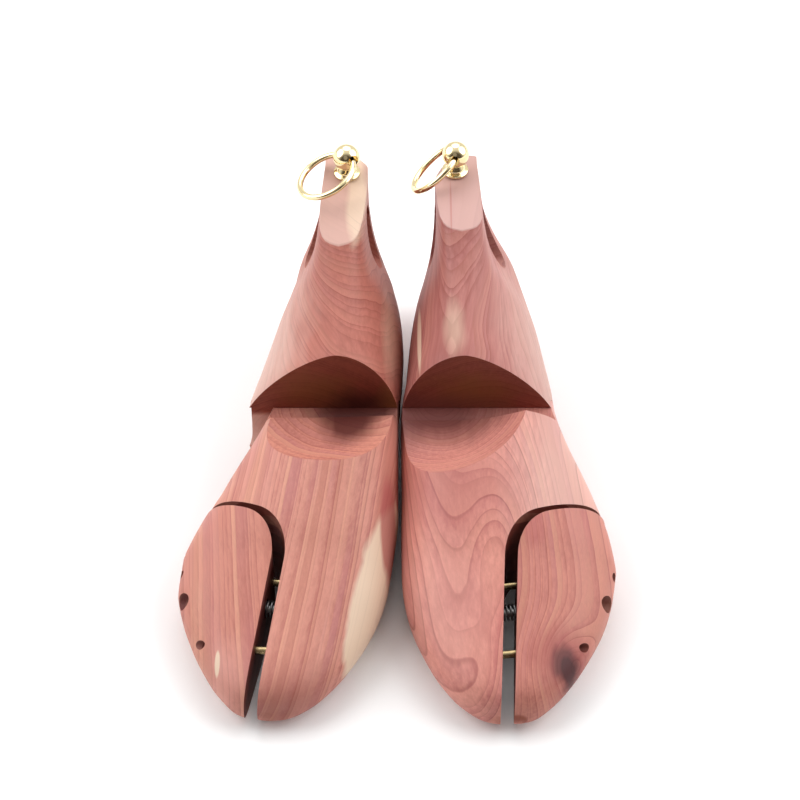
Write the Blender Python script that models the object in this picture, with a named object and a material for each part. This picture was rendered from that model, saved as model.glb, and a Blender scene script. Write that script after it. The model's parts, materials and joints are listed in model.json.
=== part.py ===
"""A pair of hinged cedar shoe trees with split, sprung toes, in metres with +Z up.

Toes point to -Y. The wearer's left foot is at +X and the right foot at -X. Each tree is drawn in its
own frame first: x runs from the inner side of the foot (0) outward, y = 0 is the hinge, z = 0 the floor.
"""

import math

import bmesh
import bpy
import numpy as np
from mathutils import Vector

# The last: the outer shape that both wooden blocks are cut from
FOREFOOT_LENGTH = 0.152
HEEL_LENGTH = 0.121
BALL_WIDTH = 0.095
HEEL_WIDTH = 0.072
INSTEP_HEIGHT = 0.0765
NECK_HEIGHT = 0.116
PAIR_GAP = 0.0010
CLEARANCE = 0.0003
OVERRUN = 0.004
WELD = 0.000002

# The joint between forefoot and heel
HINGE_HEIGHT = 0.031
KNUCKLE_RADIUS = 0.012
SWING = 30.0
SWING_SPARE = 1.5
LAP = 0.013
SCOOP_DEPTH = 0.0022
SCOOP_START = 0.0049
SCOOP_EASE = 0.004

# The split toe
KERF_EXIT_LEAN = 25.0
KERF_BEND_RADIUS = 0.026
SAW_WIDTH = 0.0012
WING_TRAVEL = 0.0045
WING_TRIM = 0.0038
PIN_HEIGHT = 0.0190
PIN_RADIUS = 0.0017
PIN_SEAT = 0.015
PIN_END_DEPTH = 0.006
BOLT_RADIUS = 0.0018
BOLT_SEAT = 0.016
BOLT_HEAD_RADIUS = 0.0032
BOLT_HEAD_HEIGHT = 0.0028
HEAD_BORE_RADIUS = 0.0038
HEAD_SEAT = 0.014
WASHER_HEIGHT = 0.0010
SPRING_RADIUS = 0.0032
SPRING_WIRE = 0.0005
SPRING_POCKET = 0.004
SPRING_CURLS = 7
CURL_POINTS = 10

# The hinge plate and its pins
PLATE_THICKNESS = 0.0025
EYE_RADIUS = 0.0080
PLATE_HALF_HEIGHT = 0.0050
PLATE_REACH = 0.034
HINGE_PIN_RADIUS = 0.0025
HINGE_PIN_SINK = 0.0015
HINGE_PIN_PAST = 0.014
CROSS_PIN_RADIUS = 0.0020
CROSS_PIN_PAST = 0.012

# The neck, its slot and facet
NECK_WIDTH = 0.0204
SLOT_LENGTH = 0.031
SLOT_WIDTH = 0.013
SLOT_LEAN = 65.0
SLOT_HEIGHT = 0.0755

# The brass knob and ring
BALL_RADIUS = 0.0064
BALL_END = 172.0
BALL_BORE_RADIUS = 0.0027
FLANGE_RADIUS = 0.0062
FOOT_HEIGHT = 0.0052
RING_RADIUS = 0.0140
RING_WIRE = 0.0015
SCREW_RADIUS = 0.0018
SCREW_LENGTH = 0.024
SCREW_SOCKET = 0.0032

# How finely round things are drawn
BORE_SIDES = 20
SCREW_SIDES = 12
HOLE_SIDES = 16
KNOB_SIDES = 24
BALL_STEPS = 12
WIRE_SIDES = 6
RING_STEPS = 36
RING_SIDES = 10
SECTION_STEPS = 8
SOLE_STEPS = 12
ROW_STEPS = 2
JOINT_STEPS = 16
EYE_STEPS = 20
BEAD_SIDES = 48
SCOOP_STEPS = 13
SCOOP_SIDE_STEPS = 12
SLOT_STEPS = 10
BEND_STEPS = 8
SHARP_ANGLE = 50.0
SHARP_CUT_ANGLE = 30.0
CUT_SLOT = 1

# Rows of the last from toe tip to heel. Station is a share of the block's length, minus for the forefoot.
# Inner, outer and ridge are shares of the width there, the rest of the heights.
#   station  inner  outer  ridge  rise  top    girth  sole    powers      bell
LAST_SHARES = (
    (-1.000, 0.420, 0.500, 0.460, 0.00, 0.156, 0.117, 0.085, 2.00, 2.00, 0.00),
    (-0.985, 0.345, 0.560, 0.460, 0.00, 0.220, 0.130, 0.058, 2.10, 2.10, 0.00),
    (-0.960, 0.285, 0.610, 0.455, 0.00, 0.268, 0.143, 0.039, 2.20, 2.20, 0.00),
    (-0.920, 0.222, 0.672, 0.445, 0.00, 0.306, 0.149, 0.026, 2.25, 2.25, 0.00),
    (-0.860, 0.158, 0.742, 0.425, 0.00, 0.342, 0.156, 0.013, 2.25, 2.25, 0.00),
    (-0.800, 0.110, 0.800, 0.405, 0.00, 0.374, 0.162, 0.004, 2.20, 2.20, 0.00),
    (-0.720, 0.060, 0.865, 0.380, 0.00, 0.418, 0.169, -0.014, 2.20, 2.20, 0.00),
    (-0.640, 0.025, 0.912, 0.352, 0.00, 0.468, 0.182, -0.016, 2.20, 2.10, 0.00),
    (-0.560, 0.006, 0.940, 0.334, 0.00, 0.520, 0.195, -0.016, 2.15, 2.00, 0.00),
    (-0.480, 0.002, 0.957, 0.316, 0.00, 0.591, 0.221, -0.014, 2.10, 1.90, 0.00),
    (-0.360, 0.001, 0.985, 0.302, 0.00, 0.688, 0.247, 0.006, 2.00, 1.75, 0.00),
    (-0.280, 0.003, 1.000, 0.306, 0.00, 0.760, 0.286, 0.020, 1.95, 1.65, 0.00),
    (-0.200, 0.002, 0.995, 0.323, 0.00, 0.831, 0.351, 0.035, 1.90, 1.55, 0.00),
    (-0.100, 0.000, 0.990, 0.360, 0.00, 0.915, 0.403, 0.045, 1.90, 1.50, 0.00),
    (0.015, 0.000, 1.000, 0.403, 0.00, 1.000, 0.450, 0.050, 1.90, 1.45, 0.00),
    (0.170, 0.028, 0.985, 0.400, 0.06, 1.000, 0.420, 0.045, 1.90, 1.50, 0.05),
    (0.330, 0.045, 0.955, 0.400, 0.19, 1.000, 0.370, 0.020, 1.95, 1.65, 0.20),
    (0.450, 0.062, 0.925, 0.398, 0.34, 1.000, 0.340, -0.014, 2.00, 1.80, 0.42),
    (0.560, 0.090, 0.885, 0.392, 0.53, 1.000, 0.320, -0.016, 2.00, 1.90, 0.75),
    (0.660, 0.138, 0.845, 0.383, 0.76, 1.000, 0.310, -0.016, 2.00, 1.90, 1.00),
    (0.750, 0.185, 0.800, 0.374, 0.92, 1.000, 0.310, -0.016, 2.00, 1.90, 1.00),
    (0.830, 0.230, 0.730, 0.366, 1.00, 1.000, 0.310, -0.012, 2.00, 1.90, 1.00),
    (0.895, 0.280, 0.655, 0.362, 1.00, 1.000, 0.310, 0.010, 2.00, 1.90, 1.00),
    (0.930, 0.315, 0.610, 0.368, 1.00, 0.965, 0.310, 0.030, 2.00, 1.90, 0.95),
    (0.962, 0.355, 0.560, 0.390, 1.00, 0.830, 0.310, 0.065, 2.00, 1.90, 0.80),
    (0.985, 0.395, 0.520, 0.420, 1.00, 0.580, 0.310, 0.130, 2.00, 1.90, 0.50),
    (1.000, 0.430, 0.490, 0.450, 1.00, 0.360, 0.310, 0.250, 2.00, 1.90, 0.00),
)
# The side of the neck from the widest line to the ridge: how far it has drawn in to the neck's own width,
# how high it is, and how the top is rounded
NECK_DRAW_SHARES = (0.0, 0.03, 0.17, 0.42, 0.63, 0.84, 0.98, 1.0, 1.0)
NECK_RISE_SHARES = (0.0, 0.20, 0.34, 0.44, 0.53, 0.65, 0.86, 0.97, 1.0)
NECK_ROUND_SHARES = (1.0, 1.0, 1.0, 1.0, 1.0, 1.0, 0.99, 0.86, 0.0)
SOLE_POWER = 2.8

# Places along the last, as shares of the block's length and width
FOREFOOT_REAR_SHARE = 0.10
HEEL_FRONT_SHARE = 0.16
BALL_SHARE = 0.40
INNER_WAIST_SHARE = 0.31
OUTER_WAIST_SHARES = (0.30, 0.64)
KERF_SIDE_SHARE = 0.470
PIN_STATION_SHARES = (0.822, 0.573)
BOLT_STATION_SHARE = 0.672
FACET_START_SHARE = 0.40
KNOB_STATION_SHARE = 0.862
KNOB_SIDE_SHARE = 0.360
SLOT_STATION_SHARE = 0.70
CROSS_PIN_SHARES = (0.58, 0.86)
# The knob's foot as shares of its height and of the flange's radius, up to the ball
FOOT_SHARES = ((0.0, 0.92), (0.10, 1.0), (0.25, 1.0), (0.34, 0.86), (0.42, 0.72), (0.56, 0.78), (1.0, 0.56))
# How much of the heel's bow there is at each share of the heel's length
BOW_SHARES = ((0.0, 0.0), (0.2, 0.42), (0.41, 0.74), (0.55, 0.88), (0.66, 1.0), (0.80, 0.80), (1.0, 0.50))
TRIM_STATION_SHARES = (0.36, 0.51)

# What differs between the two feet. Both were shaped by hand, and the right forefoot is turned in its hinge.
FEET = {
    "left": {
        "side": 1,
        "yaw": 0.0,
        "shift": 0.0,
        "inner_hollow": 0.0,
        "outer_hollow": 0.0,
        "bow": 0.0,
        "kerf_lean": 2.8,
        "kerf_bend_share": 0.565,
        "slide_lean": 6.0,
        "scoop_height": 0.0425,
        "scoop_radius": 0.0625,
        "scoop_tilt": 27.2,
        "scoop_side_radius": 0.058,
        "facet_lean": 6.0,
        "facet_height": 0.0998,
        "ridge_shift": 0.0,
        "hole_facing": -9.0,
        "hole_rise": 4.0,
        "ring_hang": 44.0,
    },
    "right": {
        "side": -1,
        "yaw": 7.0,
        "shift": 0.006,
        "inner_hollow": 0.0062,
        "outer_hollow": 0.0065,
        "bow": 0.0085,
        "kerf_lean": -1.8,
        "kerf_bend_share": 0.585,
        "slide_lean": -1.0,
        "scoop_height": 0.0450,
        "scoop_radius": 0.080,
        "scoop_tilt": -3.0,
        "scoop_side_radius": 0.250,
        "facet_lean": 8.0,
        "facet_height": 0.0985,
        "ridge_shift": 0.0010,
        "hole_facing": 35.0,
        "hole_rise": 12.0,
        "ring_hang": 22.0,
    },
}

CEDAR_COLOUR = (0.72, 0.34, 0.26)
BRASS_COLOUR = (0.83, 0.62, 0.27)
STEEL_COLOUR = (0.56, 0.57, 0.58)


def clear_scene():
    for thing in list(bpy.data.objects):
        bpy.data.objects.remove(thing, do_unlink=True)


def mix(first, second, share):
    return first + (second - first) * share


def direction(degrees):
    """Unit vector in a plane, from its first axis toward its second."""
    return np.array([math.cos(math.radians(degrees)), math.sin(math.radians(degrees))])


def make_material(name, colour, roughness, metallic):
    material = bpy.data.materials.new(name)
    material.use_nodes = True
    shader = material.node_tree.nodes["Principled BSDF"]
    shader.inputs["Base Color"].default_value = (*colour, 1.0)
    shader.inputs["Roughness"].default_value = roughness
    shader.inputs["Metallic"].default_value = metallic
    material.diffuse_color = (*colour, 1.0)
    return material


def new_object(name, bm):
    bmesh.ops.recalc_face_normals(bm, faces=bm.faces)
    mesh = bpy.data.meshes.new(name)
    bm.to_mesh(mesh)
    bm.free()
    for _ in range(CUT_SLOT + 1):
        mesh.materials.append(None)
    thing = bpy.data.objects.new(name, mesh)
    bpy.context.collection.objects.link(thing)
    return thing


def stack(name, rings, place):
    """A closed solid through rings of points, with flat ends."""
    bm = bmesh.new()
    rows = [[bm.verts.new(place(point)) for point in ring] for ring in rings]
    count = len(rows[0])
    for lower, upper in zip(rows, rows[1:]):
        for i in range(count):
            j = (i + 1) % count
            bm.faces.new((lower[i], lower[j], upper[j], upper[i]))
    bm.faces.new(rows[0])
    bm.faces.new(rows[-1])
    return new_object(name, bm)


def across(name, outline, low, high, place):
    """An outline in (y, z) carried across the foot from x = low to x = high."""
    return stack(name, [[(x, y, z) for y, z in outline] for x in (low, high)], place)


def upright(name, outline, low, high, place):
    """An outline in (x, y) carried up from z = low to z = high."""
    return stack(name, [[(x, y, z) for x, y in outline] for z in (low, high)], place)


def arc(centre, radius, first, last, steps):
    angles = np.linspace(first, last, steps + 1)
    return [tuple(np.array(centre) + radius * direction(angle)) for angle in angles]


def turned(name, profile, start, axis, place, sides=BORE_SIDES):
    """A solid turned from (distance along axis, radius) pairs."""
    start = np.array(start)
    axis = np.array(axis) / np.linalg.norm(axis)
    side = np.cross(axis, (0, 0, 1)) if abs(axis[2]) < 0.9 else np.cross(axis, (0, 1, 0))
    side = side / np.linalg.norm(side)
    other = np.cross(axis, side)
    rings = []
    for along, radius in profile:
        turns = [direction(360 * i / sides) * radius for i in range(sides)]
        rings.append([start + axis * along + side * u + other * v for u, v in turns])
    return stack(name, rings, place)


def rod(name, start, end, radius, place, sides=BORE_SIDES):
    length = np.linalg.norm(np.array(end) - np.array(start))
    return turned(name, ((0, radius), (length, radius)), start, np.array(end) - np.array(start), place, sides)


def cut(thing, cutter, operation="DIFFERENCE"):
    """Applies one exact Boolean and drops the cutter. The faces it leaves keep the cutter's slot number."""
    for face in cutter.data.polygons:
        face.material_index = CUT_SLOT
    modifier = thing.modifiers.new(cutter.name, "BOOLEAN")
    modifier.operation = operation
    modifier.solver = "EXACT"
    modifier.object = cutter
    bpy.context.view_layer.update()
    evaluated = thing.evaluated_get(bpy.context.evaluated_depsgraph_get())
    mesh = bpy.data.meshes.new_from_object(evaluated)
    thing.modifiers.clear()
    thing.data = mesh
    bpy.data.objects.remove(cutter, do_unlink=True)


def finish(thing, material, origin):
    """Gives a piece its material, its shading and an origin on its joint."""
    for vertex in thing.data.vertices:
        vertex.co -= Vector(origin)
    thing.location = origin
    bm = bmesh.new()
    bm.from_mesh(thing.data)
    bmesh.ops.remove_doubles(bm, verts=bm.verts, dist=WELD)
    bmesh.ops.dissolve_degenerate(bm, edges=bm.edges, dist=WELD)
    many_sided = [face for face in bm.faces if len(face.verts) > 4]
    bmesh.ops.triangulate(bm, faces=many_sided, ngon_method="BEAUTY")
    for edge in bm.edges:
        slots = {face.material_index for face in edge.link_faces}
        limit = SHARP_CUT_ANGLE if CUT_SLOT in slots else SHARP_ANGLE
        edge.smooth = len(slots) == 1 and edge.calc_face_angle(0.0) < math.radians(limit)
    for face in bm.faces:
        face.material_index = 0
        face.smooth = True
    bm.to_mesh(thing.data)
    bm.free()
    thing.data.materials.clear()
    thing.data.materials.append(material)


def last_rows():
    """The table as sizes in metres: y, inner, outer, ridge, top, girth, sole, powers and bell."""
    rows = []
    for station, inner, outer, ridge, rise, top, girth, sole, inner_power, outer_power, bell in LAST_SHARES:
        length = FOREFOOT_LENGTH if station < 0 else HEEL_LENGTH
        width = mix(HEEL_WIDTH, BALL_WIDTH, min(max(-station, 0) / BALL_SHARE, 1))
        height = mix(INSTEP_HEIGHT, NECK_HEIGHT, rise)
        rows.append(
            (
                station * length,
                inner * width,
                outer * width,
                ridge * width,
                top * height,
                girth * INSTEP_HEIGHT,
                sole * INSTEP_HEIGHT,
                inner_power,
                outer_power,
                bell,
            )
        )
    return np.array(rows)


def smooth_rows(rows):
    """Rows of a smooth curve through the given ones, a few for each."""
    padded = np.vstack([2 * rows[0] - rows[1], rows, 2 * rows[-1] - rows[-2]])
    result = []
    for a, b, c, d in zip(padded, padded[1:], padded[2:], padded[3:]):
        for step in range(ROW_STEPS):
            t = step / ROW_STEPS
            result.append(b + 0.5 * t * (c - a + t * (2 * a - 5 * b + 4 * c - d + t * (3 * (b - c) + d - a))))
    result.append(rows[-1])
    return np.array(result)


def quarter(reach, power, bell):
    """Distance from the ridge's line, and share of height, up one side from the widest line to the ridge."""
    neck = math.copysign(min(NECK_WIDTH / 2, abs(reach)), reach)
    points = []
    for i in range(SECTION_STEPS + 1):
        angle = math.pi / 2 * i / SECTION_STEPS
        wide = reach * max(math.cos(angle), 0.0) ** (2 / power)
        high = math.sin(angle) ** (2 / power)
        drawn = mix(reach, neck, NECK_DRAW_SHARES[i]) * NECK_ROUND_SHARES[i]
        points.append((mix(wide, drawn, bell), mix(high, NECK_RISE_SHARES[i], bell)))
    return points


def section(row, draw_in):
    """One closed ring of the last at its row, its sides drawn in by what draw_in gives for this y."""
    y, inner, outer, ridge, top, girth, sole, inner_power, outer_power, bell = row
    inner_change, outer_change, ridge_change = draw_in(y)
    inner, outer, ridge = inner + inner_change, outer - outer_change, ridge - ridge_change
    outer_side = [(ridge + w, y, mix(girth, top, h)) for w, h in quarter(outer - ridge, outer_power, bell)]
    inner_side = [(ridge + w, y, mix(girth, top, h)) for w, h in quarter(inner - ridge, inner_power, bell)]
    middle, half = (inner + outer) / 2, (outer - inner) / 2
    under = []
    for i in range(1, SOLE_STEPS):
        angle = math.pi * i / SOLE_STEPS
        wide = math.copysign(abs(math.cos(angle)) ** (2 / SOLE_POWER), math.cos(angle))
        deep = math.sin(angle) ** (2 / SOLE_POWER)
        under.append((middle - half * wide, y, mix(girth, sole, deep)))
    return outer_side + inner_side[-2::-1] + under


def inner_hollow(y, foot):
    """How far the forefoot's inner side is drawn in: all of it at the joint, none ahead of the waist."""
    return foot["inner_hollow"] * ramp(y, (0, INNER_WAIST_SHARE))


def outer_hollow(y, foot):
    """How far the forefoot's outer side is drawn in, fading out beside the wing."""
    return foot["outer_hollow"] * ramp(y, OUTER_WAIST_SHARES)


def ramp(y, shares):
    """One behind the first share of the forefoot's length, none ahead of the second."""
    rear, front = (share * FOREFOOT_LENGTH for share in shares)
    return min(max((front + y) / (front - rear), 0), 1)


def fore_draw(foot):
    """How the forefoot block differs from the table: inner side, outer side and ridge."""
    return lambda y: (inner_hollow(y, foot), outer_hollow(y, foot), 0)


def wing_draw(foot):
    """The wing as the forefoot, with its rear corner trimmed to meet the block's outline when spread."""
    return lambda y: (0, outer_hollow(y, foot) + WING_TRIM * ramp(y, TRIM_STATION_SHARES), 0)


def bow(y, foot):
    """How far the heel's body leans to the inner side at this y."""
    stations, amounts = zip(*BOW_SHARES)
    return foot["bow"] * float(np.interp(y / HEEL_LENGTH, stations, amounts))


def heel_draw(foot):
    return lambda y: (-bow(y, foot), bow(y, foot), foot["ridge_shift"] * min(max(y / HEEL_LENGTH, 0), 1))


def last_solid(name, low, high, draw_in, place):
    rows = smooth_rows(last_rows())
    kept = rows[(rows[:, 0] > low) & (rows[:, 0] < high)]
    return stack(name, [section(row, draw_in) for row in kept], place)


def floor_box(place):
    """Everything under the floor, to plane the sole flat."""
    reach = FOREFOOT_LENGTH + HEEL_LENGTH
    outline = ((-reach, -reach), (reach, -reach), (reach, reach), (-reach, reach))
    return upright("floor", outline, -reach, 0, place)


def kerf_path(offset, foot):
    """One side of the curved saw cut in plan, toe to outer side, at an offset from the block's side."""
    lean = foot["kerf_lean"]
    bend_start = np.array([KERF_SIDE_SHARE * BALL_WIDTH, -foot["kerf_bend_share"] * FOREFOOT_LENGTH])
    along = direction(90 - lean)
    outward = direction(-lean)
    centre = bend_start + outward * KERF_BEND_RADIUS
    bend = arc(centre, KERF_BEND_RADIUS - offset, 180 - lean, 90 + KERF_EXIT_LEAN, BEND_STEPS)
    start = np.array(bend[0]) - along * FOREFOOT_LENGTH
    end = np.array(bend[-1]) + direction(KERF_EXIT_LEAN) * BALL_WIDTH
    return [tuple(start), *bend, tuple(end)]


def wing_region(name, offset, foot, place):
    """The plan of the wing's side of the kerf, as a tall solid."""
    path = kerf_path(offset, foot)
    far = BALL_WIDTH + path[-1][0]
    outline = [*path, (far, path[-1][1]), (far, path[0][1])]
    return upright(name, outline, -OVERRUN, INSTEP_HEIGHT + OVERRUN, place)


def kerf_point(share, foot):
    """Where the line of a pin at this station crosses the block's side of the kerf."""
    y = -share * FOREFOOT_LENGTH
    bend_x = KERF_SIDE_SHARE * BALL_WIDTH
    bend_y = -foot["kerf_bend_share"] * FOREFOOT_LENGTH
    x = bend_x + (y - bend_y) * math.tan(math.radians(foot["kerf_lean"]))
    return np.array([x, y, PIN_HEIGHT])


def outer_edge(y, foot):
    """How far out the forefoot reaches at this y."""
    rows = smooth_rows(last_rows())
    return float(np.interp(y, rows[:, 0], rows[:, 2])) - outer_hollow(y, foot)


def slide_axis(foot):
    return np.array([*direction(foot["slide_lean"]), 0.0])


def joint_outline(gap, far):
    """The side view of the heel's side of the joint: lap, knuckle and upright face, grown by gap."""
    radius = KNUCKLE_RADIUS + gap
    round_part = arc((0, HINGE_HEIGHT), radius, -90, 90, JOINT_STEPS)
    return [(-LAP, -OVERRUN), *round_part, (0, far), (far, far), (far, -OVERRUN)]


def heel_clear_outline(gap, far):
    """The side view of all that lies on the forefoot's side of the heel's face."""
    radius = KNUCKLE_RADIUS + gap
    round_part = arc((0, HINGE_HEIGHT), radius, -90, 90, JOINT_STEPS)
    return [(-LAP + 2 * gap, -OVERRUN), *round_part, (0, far), (-far, far), (-far, -OVERRUN)]


def scoop_height(x, y, foot):
    """How high the scooped top is: level beside the knuckle, rising toward the toe and across by its tilt."""
    level = HINGE_HEIGHT + KNUCKLE_RADIUS - SCOOP_DEPTH
    off = x - hinge_centre()
    side = off * math.tan(math.radians(foot["scoop_tilt"])) + off**2 / (2 * foot["scoop_side_radius"])
    along = min(y + SCOOP_START, 0) ** 2 / (2 * foot["scoop_radius"])
    climb = foot["scoop_height"] + side + along - level
    return min(level + (climb + math.hypot(climb, SCOOP_EASE)) / 2, NECK_HEIGHT)


def scoop_solid(name, foot, place, fold, knuckle):
    """The hollow in the forefoot's rear top and the room that the folding heel takes, less the knuckle."""
    front, roof = -FOREFOOT_LENGTH / 2, NECK_HEIGHT + OVERRUN
    rings = []
    for x in np.linspace(-OVERRUN, BALL_WIDTH, SCOOP_SIDE_STEPS):
        ring = [(x, y, scoop_height(x, y, foot)) for y in np.linspace(front, OVERRUN, SCOOP_STEPS)]
        rings.append([*ring, (x, OVERRUN, roof), (x, front, roof)])
    scoop = stack(name, rings, place)
    cut(scoop, fold, "UNION")
    cut(scoop, knuckle)
    return scoop


def fold_outline():
    """Where the heel's upright face goes as it folds forward, in side view."""
    far = NECK_HEIGHT
    tip = far * direction(90 + SWING + SWING_SPARE)
    return [(0, HINGE_HEIGHT), (far, HINGE_HEIGHT), (far, HINGE_HEIGHT + far), (tip[0], HINGE_HEIGHT + tip[1])]


def bead_outline():
    """The knuckle's round, as the scoop must leave it."""
    return arc((0, HINGE_HEIGHT), KNUCKLE_RADIUS, 0, 360 - 360 / BEAD_SIDES, BEAD_SIDES - 1)


def swing_slot_outline():
    """The slot in the knuckle that lets the hinge plate swing."""
    radius = EYE_RADIUS + CLEARANCE
    spare = math.degrees(math.asin(PLATE_HALF_HEIGHT / EYE_RADIUS))
    first, last = SWING + spare, 360 - spare
    far = KNUCKLE_RADIUS + OVERRUN
    mouth = arc((0, HINGE_HEIGHT), far, last - 360, first, BEND_STEPS)
    return [*arc((0, HINGE_HEIGHT), radius, first, last, EYE_STEPS), *mouth]


def hinge_centre():
    return HEEL_WIDTH / 2


def make_forefoot(side_name, foot, fore, plain):
    """Forefoot block and toe wing, cut from the last, with the wing spread by its travel."""
    rear = FOREFOOT_REAR_SHARE * FOREFOOT_LENGTH
    block = last_solid(side_name + "_forefoot_block", -2 * FOREFOOT_LENGTH, rear, fore_draw(foot), fore)
    cut(block, floor_box(fore))
    wing = last_solid(side_name + "_toe_wing", -2 * FOREFOOT_LENGTH, rear, wing_draw(foot), fore)
    cut(wing, floor_box(fore))
    cut(wing, wing_region("wing_keep", SAW_WIDTH, foot, fore), "INTERSECT")
    travel = slide_axis(foot) * WING_TRAVEL
    moved = fore(travel) - fore((0, 0, 0))
    for vertex in wing.data.vertices:
        vertex.co += Vector(moved)
    cut(block, wing_region("wing_clear", 0, foot, fore))
    wide = (-BALL_WIDTH, 2 * BALL_WIDTH)
    cut(block, across("joint", joint_outline(0, NECK_HEIGHT), *wide, plain))
    fold = across("fold", fold_outline(), *wide, plain)
    cut(block, scoop_solid("scoop", foot, plain, fold, across("bead", bead_outline(), *wide, plain)))
    half_slot = PLATE_THICKNESS / 2 + CLEARANCE
    middle = hinge_centre()
    cut(block, across("swing_slot", swing_slot_outline(), middle - half_slot, middle + half_slot, plain))
    bore = HINGE_PIN_RADIUS + CLEARANCE
    pin_end = middle + HINGE_PIN_PAST + CLEARANCE
    cut(block, rod("pin_bore", (-OVERRUN, 0, HINGE_HEIGHT), (pin_end, 0, HINGE_HEIGHT), bore, plain))
    return block, wing


def make_slide_hardware(side_name, foot, block, wing, fore, materials):
    """Guide pins, toe bolt with washer and spring, and the bores that take them."""
    brass, steel = materials[1:]
    axis = slide_axis(foot)
    spread = SAW_WIDTH + WING_TRAVEL
    far = BALL_WIDTH
    pieces = []
    for label, share in zip(("front", "rear"), PIN_STATION_SHARES):
        at_kerf = kerf_point(share, foot)
        start = at_kerf - axis * PIN_SEAT
        end_x = outer_edge(at_kerf[1], foot) - PIN_END_DEPTH
        end = at_kerf + axis * (end_x - at_kerf[0]) / axis[0]
        bore = PIN_RADIUS + CLEARANCE
        cut(block, rod("seat", start - axis * CLEARANCE, at_kerf + axis * far, bore, fore))
        cut(wing, rod("guide", start, at_kerf + axis * far, bore, fore))
        pin = rod(f"{side_name}_guide_pin_{label}", start, end, PIN_RADIUS, fore)
        pieces.append((pin, brass, fore(at_kerf)))
    at_kerf = kerf_point(BOLT_STATION_SHARE, foot)
    start = at_kerf - axis * BOLT_SEAT
    seat = at_kerf + axis * (spread + HEAD_SEAT)
    bore = BOLT_RADIUS + CLEARANCE
    cut(block, rod("seat", start - axis * CLEARANCE, at_kerf + axis * far, bore, fore))
    cut(wing, rod("guide", start, at_kerf + axis * far, bore, fore))
    cut(wing, rod("head_bore", seat, at_kerf + axis * far, HEAD_BORE_RADIUS, fore, KNOB_SIDES))
    pocket = SPRING_RADIUS + SPRING_WIRE + 2 * CLEARANCE
    cut(block, rod("pocket", at_kerf - axis * SPRING_POCKET, at_kerf + axis * far, pocket, fore))
    cut(wing, rod("pocket", start, at_kerf + axis * (spread + SPRING_POCKET), pocket, fore))
    washer_top = seat + axis * (CLEARANCE + WASHER_HEIGHT)
    head_foot = washer_top + axis * CLEARANCE
    shank = np.linalg.norm(head_foot - start)
    profile = ((0, BOLT_RADIUS), (shank, BOLT_RADIUS), (shank, BOLT_HEAD_RADIUS))
    profile += ((shank + BOLT_HEAD_HEIGHT, BOLT_HEAD_RADIUS),)
    bolt = turned(side_name + "_toe_bolt", profile, start, axis, fore)
    washer = rod(side_name + "_bolt_washer", seat + axis * CLEARANCE, washer_top, BOLT_HEAD_RADIUS, fore)
    cut(washer, rod("hole", seat - axis * OVERRUN, washer_top + axis * OVERRUN, bore, fore))
    spring = coil(side_name + "_toe_spring", at_kerf, axis, spread, fore)
    pieces += [(bolt, steel, fore(at_kerf)), (washer, steel, fore(at_kerf)), (spring, steel, fore(at_kerf))]
    return pieces


def coil(name, at_kerf, axis, spread, place):
    """The toe spring: one wire wound round the bolt, from pocket floor to pocket floor."""
    inset = CLEARANCE + SPRING_WIRE
    start = at_kerf - axis * (SPRING_POCKET - inset)
    length = spread + 2 * (SPRING_POCKET - inset)
    side = np.cross(axis, (0, 0, 1))
    side = side / np.linalg.norm(side)
    other = np.cross(axis, side)
    points = []
    for i in range(SPRING_CURLS * CURL_POINTS + 1):
        u, v = direction(360 * i / CURL_POINTS) * SPRING_RADIUS
        along = length * i / (SPRING_CURLS * CURL_POINTS)
        points.append(start + axis * along + side * u + other * v)
    report_least_gap(name, points)
    return wire(name, points, SPRING_WIRE, place)


def report_least_gap(name, points):
    """Measures how near the wire comes to itself, curl to curl."""
    path = np.array(points)
    apart = CURL_POINTS // 2
    least = min(
        np.linalg.norm(path[i + apart :] - path[i], axis=1).min() for i in range(len(path) - apart)
    )
    print(f"{name}: least gap {1000 * (least - 2 * SPRING_WIRE):.2f} mm")


def wire(name, points, radius, place):
    """A tube of given radius along points."""
    path = np.array([place(point) for point in points])
    tangents = np.gradient(path, axis=0)
    tangents = tangents / np.linalg.norm(tangents, axis=1)[:, None]
    normal = np.cross(tangents[0], (0, 0, 1))
    bm = bmesh.new()
    rows = []
    for point, tangent in zip(path, tangents):
        normal = normal - tangent * np.dot(normal, tangent)
        normal = normal / np.linalg.norm(normal)
        other = np.cross(tangent, normal)
        turns = [direction(360 * i / WIRE_SIDES) * radius for i in range(WIRE_SIDES)]
        rows.append([bm.verts.new(point + normal * u + other * v) for u, v in turns])
    for lower, upper in zip(rows, rows[1:]):
        for i in range(WIRE_SIDES):
            j = (i + 1) % WIRE_SIDES
            bm.faces.new((lower[i], lower[j], upper[j], upper[i]))
    bm.faces.new(rows[0])
    bm.faces.new(rows[-1])
    return new_object(name, bm)


def ring_solid(name, centre, first, second):
    """A round ring in the plane of two unit vectors."""
    normal = np.cross(first, second)
    bm = bmesh.new()
    rows = []
    for i in range(RING_STEPS):
        u, v = direction(360 * i / RING_STEPS)
        outward = first * u + second * v
        row = []
        for j in range(RING_SIDES):
            p, q = direction(360 * j / RING_SIDES) * RING_WIRE
            row.append(bm.verts.new(centre + outward * (RING_RADIUS + p) + normal * q))
        rows.append(row)
    for i in range(RING_STEPS):
        lower, upper = rows[i], rows[(i + 1) % RING_STEPS]
        for j in range(RING_SIDES):
            k = (j + 1) % RING_SIDES
            bm.faces.new((lower[j], lower[k], upper[k], upper[j]))
    return new_object(name, bm)


def facet_height(y, foot):
    station = KNOB_STATION_SHARE * HEEL_LENGTH
    return foot["facet_height"] + (y - station) * math.tan(math.radians(foot["facet_lean"]))


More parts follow.
